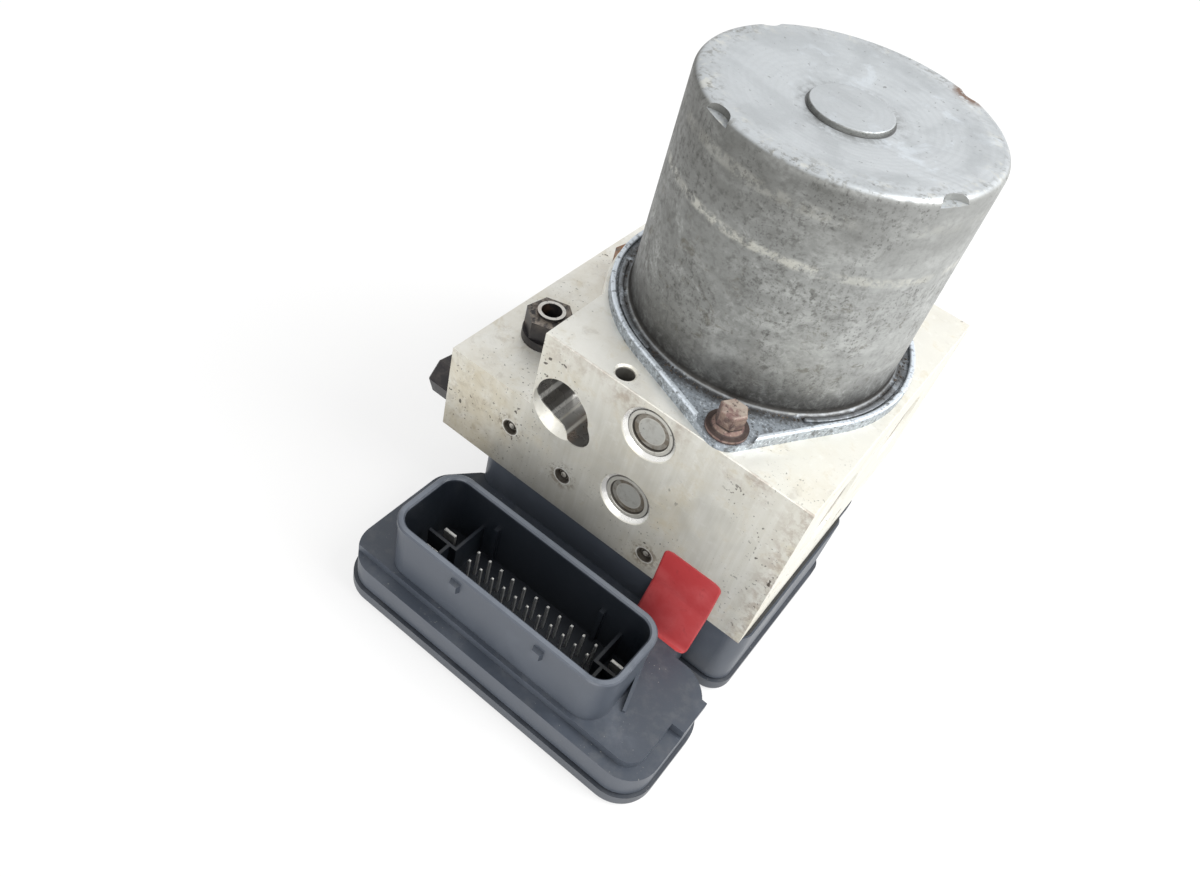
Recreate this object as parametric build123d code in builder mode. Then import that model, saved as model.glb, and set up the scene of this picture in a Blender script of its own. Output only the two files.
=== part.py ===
"""Anti-lock brake module: pump motor on a valve block, with the control unit and its connector below."""
import os
from math import cos, radians, sin

from build123d import *

os.makedirs("parts", exist_ok=True)

# Clearances
fit = 0.02
running_fit = 0.04
touching = 1e-6

# Motor can
can_radius = 36.0
can_wall = 2.0
can_height = 62.2
can_rim_radius = 2.0
can_base_radius = 1.5
dish_margin = 6.0
dish_blend = 20.0
dish_depth = 2.4
boss_radius = 10.0
boss_rise = 1.2
boss_edge = 0.4
boss_gutter = 3.0
flange_width = 5.0
flange_thickness = 2.0
lip_width = 1.5
lip_rise = 1.2
lip_edge = 0.5
ear_radius = 5.6
bolt_offset = 5.3
bolt_angle = -70.8
bead_width = 1.5
bead_rise = 0.7
bead_edge = 0.3
bead_starts = (-160.0, -44.0)
bead_span = 50.0
notch_radius = 4.5
notch_depth = 1.6
notch_angle = -117.0
notch_count = 4
notch_reach = 2.0

# Motor inside
magnet_thickness = 6.0
magnet_overhang = 2.0
magnet_arc = 72.0
magnet_count = 4
air_gap = 1.0
core_base = 25.0
core_top_gap = 15.2
slot_count = 8
slot_radius = 3.6
slot_neck = 2.4
tooth_tip = 3.4
winding_clear = 0.3
winding_head = 3.6
winding_inset = 3.0
winding_edge = 2.2
shaft_radius = 4.0
shaft_below = 23.0
shaft_top_gap = 0.6
shaft_chamfer = 0.6
eccentric_throw = 0.8
eccentric_radius = 6.0
eccentric_length = 8.0
needle_radius = 0.65
needle_count = 12
eccentric_ring = 1.2
commutator_radius = 9.0
commutator_length = 9.0
commutator_base = 11.5
commutator_bars = 12
commutator_slit = 0.5
commutator_slit_depth = 1.2
brush_width = 5.0
brush_height = 6.0
brush_length = 11.0
brush_gap = 0.1
brush_head_room = 0.5
guide_wall = 1.0
guide_standoff = 5.0
holder_base = 9.5
holder_thickness = 2.0
holder_rim_gap = 0.6
holder_hub_gap = 0.5
holder_post_radius = 2.4
holder_post_inset = 6.0
holder_post_count = 3
shield_thickness = 1.5
ball_bearing_radius = 11.0
ball_bearing_width = 7.0
bearing_ball_radius = 1.9
bearing_ball_count = 7
bearing_ring = 1.9
hub_wall = 2.0
bushing_length = 5.0
pilot_radius = 6.0
pilot_length = 6.0
pilot_relief = 1.0

# Motor lead and motor screws
lead_radius = 3.5
lead_margin = 2.5
lead_y = -1.0
lead_pin_radius = 0.8
lead_pin_pitch = 3.0
screw_radius = 2.5
screw_washer_radius = 5.2
screw_washer = 1.1
screw_flange_radius = 4.1
screw_flange = 1.3
screw_hex_flats = 6.2
screw_hex_height = 4.2
screw_edge = 0.4
screw_depth = 14.0

# Valve block, as walls round what it carries
pad_margin = 1.0
port_margin = 5.0
port_wall = 13.5
step_room = 13.5
bolt_front_wall = 5.3
bolt_rear_wall = 4.3
flange_right_wall = 1.8
block_height = 53.7
block_edge = 0.2
shelf_drop = 24.6

# Pumps, dampers and accumulators
pump_drop = 9.2
damper_drop = 33.7
cavity_radius = 13.0
cavity_depth = 17.0
plug_radius = 6.6
plug_chamfer = 1.2
plug_recess = 1.0
plug_rim = 1.4
plug_dish = 0.7
plug_edge = 0.35
plug_passage = 1.3
sleeve_start = 19.0
sleeve_end = 35.5
sleeve_radius = 6.0
piston_radius = 3.0
piston_length = 14.0
piston_collar_radius = 4.5
piston_collar = 1.5
piston_clear = 0.1
spring_bore_radius = 5.2
pump_wire_radius = 0.35
pump_spring_turns = 3
outlet_radius = 1.2
damper_start = 24.0
damper_bore = 3.0
damper_plug_length = 11.0
damper_plug_bore = 5.0
store_rise = 31.7
store_pitch = 40.0
store_radius = 9.0
store_depth = 22.0
store_piston_length = 7.0
store_piston_crown = 2.0
store_piston_wall = 4.5
store_piston_gap = 0.5
store_cap_thickness = 2.2
store_cap_recess = 0.8
store_cap_rim = 2.0
store_cap_dish = 0.7
store_wire_radius = 0.6
store_spring_inset = 2.4
store_spring_turns = 3
wire_sides = 8

# Valves and coils
valve_lead_pitch = 9.0
valve_front_wall = 15.0
valve_rear_wall = 16.0
valve_count = 4
valve_flange_radius = 5.5
valve_flange_depth = 6.0
valve_body_radius = 4.5
inlet_depth = 19.0
outlet_depth = 17.0
dome_radius = 3.5
dome_wall = 0.8
dome_length = 15.5
plunger_length = 8.0
plunger_clear = 0.05
plunger_rest = 0.2
plunger_head_room = 2.0
needle_pin_radius = 0.8
seat_radius = 1.6
seat_depth = 3.0
valve_lift = 0.4
coil_room = 1.5
coil_length = 12.0
coil_top_gap = 1.2
coil_bore_gap = 0.3
coil_leg = 1.2

# Fluid ports, nuts, plugs and threads
port_radius = 6.0
port_depth = 11.0
port_front_row = -26.0
port_pitch = 41.5
nut_tip_gap = 2.0
nut_flats = 12.0
nut_height = 8.8
nut_foot_radius = 7.0
nut_foot = 2.6
nut_bore = 2.9
nut_ring = 1.0
nut_ring_rise = 0.8
nut_edge = 0.5
nut_turn = 20.0
wheel_port_radius = 5.0
wheel_port_depth = 10.0
wheel_port_rise = 7.7
wheel_port_front_wall = 9.0
wheel_port_rear_wall = 10.0
wheel_port_count = 4
wheel_nut_flats = 11.0
wheel_nut_height = 9.5
wheel_nut_bore = 2.4
wheel_nut_turn = 10.0
feed_radius = 2.0
feed_depth = 4.0
ball_radius = 2.0
ball_sunk = 2.5
gallery_radius = 1.5
gallery_outer_x = -38.0
gallery_outer_rise = 16.1
gallery_outer_end = 35.0
gallery_inlet_rise = 12.5
gallery_inlet_end = 33.0
gallery_inner_x = 10.4
gallery_inner_rise = 6.2
gallery_inner_end = 11.0
bracket_thread_radius = 2.5
bracket_thread_depth = 12.0
bracket_thread_drop = 20.0
bracket_thread_pitch = 56.0
side_thread_rise = 9.7
dowel_radius = 2.5
dowel_depth = 8.0
dowel_chamfer = 0.5
dowel_x = -12.2
dowel_edge = 4.0
pocket_depth = 12.0
pocket_radius = 7.6
pocket_x = -24.9
pocket_drop = 18.6
pocket_end_radius = 4.6
pocket_end_x = -18.9
pocket_end_drop = 23.6
scallop_radius = 8.7
scallop_x = -24.4
scallop_drop = 20.5
scallop_depth = 2.6
scallop_slope = 40.0

# Heights of the control unit, from the surface the module stands on
cover_height = 4.5
cover_floor = 2.0
cover_gap = 0.5
cover_lip = 1.0
cover_edge_radius = 1.6
cover_ring_inset = 0.9
cover_ring_width = 2.2
cover_groove_depth = 0.8
cover_groove_margin = 8.0
cover_groove_width = 5.0
skirt_height = 7.5
plateau_step = 2.5
wall_rise = 10.8
seal_thickness = 1.0
seal_inset = 0.55
housing_wall = 2.2
plate_thickness = 2.6

# Plan of the control unit, from the block above it and the connector in front
main_left_setback = 14.5
main_right_overhang = 1.4
main_right_step = 3.7
main_shoulder = 13.0
main_front_setback = 0.8
main_back_setback = 1.8
main_corner = 5.5
socket_left_margin = 10.0
socket_right_margin = 17.7
socket_front_margin = 4.7
socket_gap = 8.0
socket_corner = 9.0
socket_left_corner = 8.0
socket_right_corner = 11.0
bridge_inset = 14.0
bridge_lap = 1.5
plateau_front_inset = 3.4
plateau_side_inset = 3.8
plateau_corner = 5.0
plateau_notch = 20.2
plateau_tab = 11.0
unit_screw_radius = 2.0
unit_screw_head_radius = 3.6
unit_screw_head = 2.6
unit_screw_socket = 1.6
unit_screw_socket_depth = 1.5
unit_screw_depth = 9.0
unit_screw_tip_gap = 1.0
unit_screw_inset = 6.0
unit_post_radius = 4.2
unit_post_lean = 2.0
unit_post_drop = 13.5

# Connector shroud and its contacts
contact_middle = -6.2
blade_pitch = 57.0
blade_width = 3.8
blade_thickness = 0.9
blade_row = 9.6
blade_row_pitch = 7.4
shroud_left_room = 8.8
shroud_right_room = 5.2
shroud_gap = 14.8
shroud_depth = 25.0
shroud_corner = 6.5
shroud_wall = 1.6
shroud_height = 18.0
shroud_floor_drop = 4.0
shroud_floor = 2.4
shroud_rim_chamfer = 0.4
rim_bead = 0.35
rim_bead_height = 1.6
pin_count = 11
pin_row_count = 2
pin_end_room = 7.6
pin_shift = 1.2
pin_row = 9.0
pin_row_pitch = 3.7
pin_side = 0.7
pin_tip_drop = 11.8
pin_tip_taper = 0.2
partition_inset = 4.7
partition_thickness = 0.9
partition_drop = 12.0
partition_row = 12.6
partition_arm = 9.0
partition_leg_shift = 2.2
key_post = 1.4
key_post_inset = 5.8
key_post_shift = -0.8
key_post_drop = 8.0
latch_width = 3.2
latch_height = 3.4
latch_reach = 1.3
latch_slope = 18.0
latch_pitch = 27.0
latch_drop = 3.2
end_rib_thickness = 0.9
end_rib_length = 12.2
end_rib_angle = -72.5
end_rib_row = 4.0
end_rib_rise = 5.5
end_rib_toe = 0.6

# Circuit board and what stands on it
board_rise = 4.0
board_thickness = 1.6
board_margin = 4.2
board_post_radius = 2.2
board_post_inset = 12.0
board_post_row = 20.0
chip_height = 1.8
controller_side = 14.0
driver_width = 9.0
driver_length = 11.0
regulator_side = 7.0
regulator_pitch = 20.0
capacitor_radius = 4.0
capacitor_height = 3.6
capacitor_room = 1.0

# Motor sizes that follow
flange_radius = can_radius + flange_width
pad_radius = flange_radius + pad_margin
bolt_circle = flange_radius + bolt_offset
bolt_places = [
    (bolt_circle * cos(radians(angle)), bolt_circle * sin(radians(angle)))
    for angle in (bolt_angle, bolt_angle + 180.0)
]
can_inner = can_radius - can_wall
dish_radius = can_radius - dish_margin
magnet_inner = can_inner - fit - magnet_thickness
core_radius = magnet_inner - air_gap
core_length = can_height - core_base - core_top_gap
slot_circle = core_radius - slot_radius - tooth_tip
lead_x = -(can_inner - lead_radius - lead_margin)
valve_column = -lead_x - valve_lead_pitch

# Plan of the block, round the motor and its ports
port_column = pad_radius + port_margin
block_left = port_column + port_wall
block_right = flange_radius + flange_right_wall
block_front = bolt_front_wall - bolt_places[0][1]
block_back = bolt_rear_wall + bolt_places[1][1]
step_left = port_column - step_room
block_middle = ((block_right - block_left) / 2, (block_back - block_front) / 2)
block_size = (block_left + block_right, block_front + block_back)
valve_pitch = (block_size[1] - valve_front_wall - valve_rear_wall) / (valve_count - 1)
wheel_port_run = block_size[1] - wheel_port_front_wall - wheel_port_rear_wall
wheel_port_pitch = wheel_port_run / (wheel_port_count - 1)
coil_radius = valve_pitch / 2 - coil_room
store_drop = block_height - store_rise
side_thread_drop = block_height - side_thread_rise

# Plan of the control unit, under the block and round the connector
main_left = block_left - main_left_setback
main_right = block_right + main_right_overhang
main_right_back = main_right - main_right_step
main_front = block_front - main_front_setback
main_back = block_back - main_back_setback
shroud_left = blade_pitch / 2 + shroud_left_room - contact_middle
shroud_right = blade_pitch / 2 + shroud_right_room + contact_middle
shroud_back = main_front + shroud_gap
shroud_front = shroud_back + shroud_depth
socket_left = shroud_left + socket_left_margin
socket_right = shroud_right + socket_right_margin
socket_front = shroud_front + socket_front_margin
socket_back = main_front + socket_gap
bridge_right = socket_right - bridge_inset
plateau_right = socket_right - plateau_side_inset
plateau_front = socket_front - plateau_front_inset
partition_pitch = blade_pitch - 2 * partition_inset
partition_bar = shroud_back + partition_row
partition_leg = shroud_front - shroud_wall - partition_bar
pin_pitch = (partition_pitch - pin_end_room) / (pin_count - 1)
capacitor_row = (shroud_back + main_front) / 2
capacitor_pitch = 2 * (bridge_right - housing_wall - capacitor_room - capacitor_radius)

# Levels that follow
skirt_bottom = cover_height + cover_gap
ledge_z = skirt_bottom + skirt_height
plateau_z = ledge_z + plateau_step
housing_top = plateau_z + wall_rise
block_base = housing_top + seal_thickness
block_top = block_base + block_height
shelf_z = block_top - shelf_drop
board_z = cover_floor + board_rise
board_top = board_z + board_thickness
shroud_top = plateau_z + shroud_height
socket_floor_z = plateau_z - shroud_floor_drop
contact_top = shroud_top - pin_tip_drop
unit_post_z = housing_top - unit_post_drop
pump_z = block_top - pump_drop
damper_z = block_top - damper_drop
store_z = block_top - store_drop
wheel_port_z = block_base + wheel_port_rise
flange_top = block_top + flange_thickness
can_top = block_top + can_height
shield_z = block_top + shield_thickness
dish_z = can_top - dish_depth
boss_z = dish_z + boss_rise
boss_inner = boss_radius - can_wall
core_z = block_top + core_base
holder_z = block_top + holder_base
holder_top = holder_z + holder_thickness
shaft_top = boss_z - can_wall - shaft_top_gap
eccentric_z = pump_z - eccentric_length / 2
eccentric_outer = eccentric_radius + 2 * needle_radius + 2 * fit + eccentric_ring
piston_start = eccentric_outer + eccentric_throw + piston_clear
dome_z = block_base - dome_length
coil_top = block_base - coil_top_gap
coil_bottom = coil_top - coil_length

# Places of what repeats
valve_rows = [-block_front + valve_front_wall + valve_pitch * n for n in range(valve_count)]
valve_places = [(x, y) for x in (-valve_column, valve_column) for y in valve_rows]
wheel_port_first = -block_front + wheel_port_front_wall
wheel_port_rows = [wheel_port_first + wheel_port_pitch * n for n in range(wheel_port_count)]
port_rows = [port_front_row, port_front_row + port_pitch]
store_rows = [-store_pitch / 2, store_pitch / 2]
galleries = [
    (gallery_outer_x, block_height - gallery_outer_rise, block_front + gallery_outer_end),
    (-valve_column, block_height - gallery_inlet_rise, block_front + gallery_inlet_end),
    (gallery_inner_x, block_height - gallery_inner_rise, block_front + gallery_inner_end),
]
unit_screw_places = [
    (-main_left + unit_screw_inset, -main_front + unit_screw_inset),
    (main_right - unit_screw_inset, -main_front + unit_screw_inset),
    (-main_left + unit_screw_inset, main_back - unit_screw_inset),
    (main_right_back - unit_screw_inset, main_back - unit_screw_inset),
]
board_post_places = [
    (-main_left + board_post_inset, -board_post_row),
    (main_right_back - board_post_inset, -board_post_row),
    (0, main_back - board_post_inset),
    (0, -capacitor_row),
    (-socket_left + board_post_inset, -socket_front + board_post_inset),
    (socket_right - board_post_inset, -socket_front + board_post_inset),
]
pin_first = contact_middle + pin_shift - pin_pitch * (pin_count - 1) / 2
pin_places = [
    (pin_first + pin_pitch * n, -shroud_back - pin_row - pin_row_pitch * row)
    for row in range(pin_row_count)
    for n in range(pin_count)
]
blade_places = [
    (contact_middle + side * blade_pitch / 2, -shroud_back - blade_row - blade_row_pitch * row)
    for side in (-1, 1)
    for row in range(2)
]
sides = {"front": -1, "rear": 1}
faces = {"front": block_front, "rear": block_back}
on_base = (Align.CENTER, Align.CENTER, Align.MIN)
under_face = (Align.CENTER, Align.CENTER, Align.MAX)


def across(side, distance, height):
    """Plane square to the pump axis, at a distance from the motor axis, facing out of that side."""
    way = sides[side]
    return Plane(origin=(0, way * distance, height), x_dir=(-way, 0, 0), z_dir=(0, way, 0))


def front_face(x, drop):
    """Plane on the block's front face, facing out."""
    return Plane(origin=(x, -block_front, block_top - drop), x_dir=(1, 0, 0), z_dir=(0, -1, 0))


def right_face(y, drop, depth=0.0):
    """Plane on or under the block's right face, facing out."""
    return Plane(origin=(block_right - depth, y, block_top - drop), x_dir=(0, 1, 0), z_dir=(1, 0, 0))


def left_face(y, height):
    """Plane on the block's left face, facing out."""
    return Plane(origin=(-block_left, y, height), x_dir=(0, -1, 0), z_dir=(-1, 0, 0))


def rear_face(x, drop):
    """Plane on the block's rear face, facing out."""
    return Plane(origin=(x, block_back, block_top - drop), x_dir=(-1, 0, 0), z_dir=(0, 1, 0))


def round_corner(sketch, corner, radius):
    """Round the corner of the sketch that lies nearest a point."""
    fillet(sketch.vertices().sort_by_distance(corner)[0], radius)


def rim(builder, level):
    """Edges of the flat faces that lie at a level."""
    flats = builder.faces().filter_by_position(Axis.Z, level - touching, level + touching)
    return flats.edges()


def keep(builder, name):
    """Label a finished piece and write it."""
    builder.part.label = name
    export_step(builder.part, f"parts/{name}.step")


# Outlines of the control unit, shared by its cover, housing, seal and board
with BuildSketch() as main_outline:
    with Locations(((main_right - main_left) / 2, (main_shoulder - main_front) / 2)):
        RectangleRounded(main_left + main_right, main_front + main_shoulder, main_corner)
    with Locations(((main_right_back - main_left) / 2, (main_back - main_front) / 2)):
        RectangleRounded(main_left + main_right_back, main_front + main_back, main_corner)

with BuildSketch() as plate_outline:
    with BuildLine():
        Polyline(
            (-main_left, -main_front + bridge_lap),
            (-socket_left, -socket_back),
            (-socket_left, -socket_front),
            (socket_right, -socket_front),
            (socket_right, -socket_back),
            (bridge_right, -socket_back),
            (bridge_right, -main_front + main_corner),
            (-main_left + main_corner, -main_front + main_corner),
            close=True,
        )
    make_face()
    round_corner(plate_outline, (-socket_left, -socket_back), socket_left_corner)
    round_corner(plate_outline, (-socket_left, -socket_front), socket_corner)
    round_corner(plate_outline, (socket_right, -socket_front), socket_corner)
    round_corner(plate_outline, (socket_right, -socket_back), socket_right_corner)

with BuildSketch() as unit_outline:
    add(main_outline.sketch)
    add(plate_outline.sketch)

with BuildSketch() as plateau_outline:
    add(unit_outline.sketch)
    with Locations((0, -socket_front)):
        Rectangle(2 * (socket_left + socket_right), 2 * plateau_front_inset, mode=Mode.SUBTRACT)
    with Locations((socket_right, -socket_front)):
        Rectangle(2 * plateau_side_inset, 2 * plateau_notch, mode=Mode.SUBTRACT)
    with Locations((socket_right, -socket_front + plateau_notch)):
        Rectangle(socket_right_corner, plateau_tab, align=(Align.MAX, Align.MIN))
    round_corner(plateau_outline, (plateau_right, -plateau_front), plateau_corner)

with BuildSketch() as shroud_outline:
    with Locations(((shroud_right - shroud_left) / 2, -(shroud_front + shroud_back) / 2)):
        RectangleRounded(shroud_left + shroud_right, shroud_front - shroud_back, shroud_corner)

# Cover of the control unit
with BuildPart() as ecu_cover:
    with BuildSketch():
        add(unit_outline.sketch)
        offset(amount=cover_lip, mode=Mode.REPLACE)
    extrude(amount=cover_height)
    fillet(ecu_cover.faces().sort_by(Axis.Z)[0].outer_wire().edges(), cover_edge_radius)
    with BuildSketch():
        add(unit_outline.sketch)
        offset(amount=-cover_ring_inset, mode=Mode.REPLACE)
    extrude(amount=skirt_bottom)
    with BuildSketch(Plane.XY.offset(cover_floor)):
        add(unit_outline.sketch)
        offset(amount=-cover_ring_inset - cover_ring_width, mode=Mode.REPLACE)
    extrude(amount=skirt_bottom, mode=Mode.SUBTRACT)
    with BuildSketch():
        add(unit_outline.sketch)
        offset(amount=-cover_groove_margin, mode=Mode.REPLACE)
        with BuildSketch(mode=Mode.PRIVATE) as cover_panel:
            add(unit_outline.sketch)
            offset(amount=-cover_groove_margin - cover_groove_width, mode=Mode.REPLACE)
        add(cover_panel.sketch, mode=Mode.SUBTRACT)
    extrude(amount=cover_groove_depth, mode=Mode.SUBTRACT)
    with BuildSketch(Plane.XY.offset(cover_floor)):
        with Locations(*board_post_places):
            Circle(board_post_radius)
    extrude(amount=board_rise)
keep(ecu_cover, "ecu_cover")

# Housing of the control unit: skirt, plateau and walls under the block
with BuildPart() as ecu_housing:
    with BuildSketch(Plane.XY.offset(skirt_bottom)):
        add(unit_outline.sketch)
    extrude(amount=skirt_height)
    with BuildSketch(Plane.XY.offset(ledge_z)):
        add(plateau_outline.sketch)
    extrude(amount=plateau_step)
    with BuildSketch(Plane.XY.offset(ledge_z)):
        add(main_outline.sketch)
    extrude(amount=housing_top - ledge_z)
    with BuildSketch(Plane.XY.offset(skirt_bottom)):
        add(unit_outline.sketch)
        offset(amount=-housing_wall, mode=Mode.REPLACE)
    extrude(amount=plateau_z - plate_thickness - skirt_bottom, mode=Mode.SUBTRACT)
    with BuildSketch(Plane.XY.offset(skirt_bottom)):
        add(main_outline.sketch)
        offset(amount=-housing_wall, mode=Mode.REPLACE)
    extrude(amount=housing_top, mode=Mode.SUBTRACT)
    # Connector shroud with a beaded rim
    with BuildSketch(Plane.XY.offset(socket_floor_z - shroud_floor)):
        add(shroud_outline.sketch)
    extrude(amount=shroud_top - socket_floor_z + shroud_floor)
    with BuildSketch(Plane.XY.offset(shroud_top - rim_bead_height)):
        add(shroud_outline.sketch)
        offset(amount=rim_bead, mode=Mode.REPLACE)
    extrude(amount=rim_bead_height)
    with BuildSketch(Plane.XY.offset(socket_floor_z)):
        add(shroud_outline.sketch)
        offset(amount=-shroud_wall, mode=Mode.REPLACE)
    extrude(amount=shroud_top, mode=Mode.SUBTRACT)
    chamfer(ecu_housing.faces().sort_by(Axis.Z)[-1].edges(), shroud_rim_chamfer)
    # Partitions round the power blades, and key posts
    with BuildSketch(Plane.XY.offset(socket_floor_z)):
        for side in (-1, 1):
            with Locations((contact_middle + side * partition_pitch / 2, 0)):
                with Locations((0, -(shroud_back + shroud_wall + partition_bar) / 2)):
                    Rectangle(partition_thickness, partition_bar - shroud_back - shroud_wall)
                with Locations((side * partition_arm / 2, -partition_bar)):
                    Rectangle(partition_arm + partition_thickness, partition_thickness)
                with Locations((side * partition_leg_shift, -partition_bar - partition_leg / 2)):
                    Rectangle(partition_thickness, partition_leg)
    extrude(amount=shroud_top - partition_drop - socket_floor_z)
    with BuildSketch(Plane.XY.offset(socket_floor_z)):
        with Locations((contact_middle + key_post_shift, -shroud_back - shroud_wall - key_post / 2)):
            with GridLocations(partition_pitch - 2 * key_post_inset, 1, 2, 1):
                Rectangle(key_post, key_post)
    extrude(amount=shroud_top - key_post_drop - socket_floor_z)
    # Latches on the shroud and the rib at its end
    with BuildSketch(Plane.XZ.offset(shroud_front)):
        with Locations((contact_middle, shroud_top - latch_drop - latch_height / 2)):
            with GridLocations(latch_pitch, 1, 2, 1):
                Rectangle(latch_width, latch_height)
    extrude(amount=latch_reach, taper=latch_slope)
    with BuildSketch(Plane.XZ.offset(shroud_back)):
        with Locations((contact_middle + latch_pitch / 2, shroud_top - latch_height / 2 - rim_bead_height)):
            Rectangle(latch_width, latch_height)
    extrude(amount=-latch_reach, taper=latch_slope)
    rib_run = (cos(radians(end_rib_angle)), sin(radians(end_rib_angle)))
    rib_plane = Plane(
        origin=(shroud_right - shroud_wall / 2, -shroud_back - end_rib_row, plateau_z),
        x_dir=(*rib_run, 0),
        z_dir=(rib_run[1], -rib_run[0], 0),
    )
    with BuildSketch(rib_plane):
        with BuildLine():
            Polyline(
                (0, -plate_thickness / 2),
                (end_rib_length, -plate_thickness / 2),
                (end_rib_length, end_rib_toe),
                (0, end_rib_rise),
                close=True,
            )
        make_face()
    extrude(amount=end_rib_thickness / 2, both=True)
    # Screw posts in the corners, and slots for the contacts
    with BuildSketch(Plane.XY.offset(unit_post_z)):
        for x, y in unit_screw_places:
            corner = (x + unit_post_lean * x / abs(x), y + unit_post_lean * y / abs(y))
            with Locations((x, y), corner):
                Circle(unit_post_radius)
        add(main_outline.sketch, mode=Mode.INTERSECT)
    extrude(amount=unit_post_drop)
    with Locations(*[(x, y, unit_post_z) for x, y in unit_screw_places]):
        Cylinder(unit_screw_radius + 2 * fit, unit_post_drop, align=on_base, mode=Mode.SUBTRACT)
    with BuildSketch(Plane.XY.offset(socket_floor_z - shroud_floor)):
        with Locations(*pin_places):
            Rectangle(pin_side, pin_side)
        with Locations(*blade_places):
            Rectangle(blade_width, blade_thickness)
    extrude(amount=shroud_floor, mode=Mode.SUBTRACT)
keep(ecu_housing, "ecu_housing")

# Seal between housing and block
with BuildPart() as ecu_seal:
    with BuildSketch(Plane.XY.offset(housing_top)):
        add(main_outline.sketch)
        offset(amount=-seal_inset, mode=Mode.REPLACE)
        with BuildSketch(mode=Mode.PRIVATE) as seal_hole:
            add(main_outline.sketch)
            offset(amount=-housing_wall, mode=Mode.REPLACE)
        add(seal_hole.sketch, mode=Mode.SUBTRACT)
    extrude(amount=seal_thickness)
keep(ecu_seal, "ecu_seal")

# Circuit board, with chips between the valve rows and capacitors behind the connector
with BuildPart() as circuit_board:
    with BuildSketch(Plane.XY.offset(board_z)):
        add(unit_outline.sketch)
        offset(amount=-board_margin, mode=Mode.REPLACE)
    extrude(amount=board_thickness)
keep(circuit_board, "circuit_board")

with BuildPart() as board_components:
    with BuildSketch(Plane.XY.offset(board_top)):
        with Locations((0, valve_rows[1] + valve_pitch / 2)):
            Rectangle(controller_side, controller_side)
        with Locations((0, valve_rows[0] + valve_pitch / 2), (0, valve_rows[2] + valve_pitch / 2)):
            Rectangle(driver_width, driver_length)
        with Locations((0, -capacitor_row)):
            with GridLocations(regulator_pitch, 1, 2, 1):
                Rectangle(regulator_side, regulator_side)
    extrude(amount=chip_height)
    with BuildSketch(Plane.XY.offset(board_top)):
        with Locations((0, -capacitor_row)):
            with GridLocations(capacitor_pitch, 1, 2, 1):
                Circle(capacitor_radius)
    extrude(amount=capacitor_height)
keep(board_components, "board_components")

# Connector contacts
with BuildPart() as signal_pins:
    with BuildSketch(Plane.XY.offset(board_top)):
        with Locations(*pin_places):
            Rectangle(pin_side, pin_side)
    extrude(amount=contact_top - board_top)
    chamfer(signal_pins.faces().filter_by(Axis.Z).group_by(Axis.Z)[-1].edges(), pin_tip_taper)
keep(signal_pins, "signal_pins")

with BuildPart() as power_blades:
    with BuildSketch(Plane.XY.offset(board_top)):
        with Locations(*blade_places):
            Rectangle(blade_width, blade_thickness)
    extrude(amount=contact_top - board_top)
    chamfer(power_blades.faces().filter_by(Axis.Z).group_by(Axis.Z)[-1].edges(), pin_tip_taper)
keep(power_blades, "power_blades")

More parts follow.
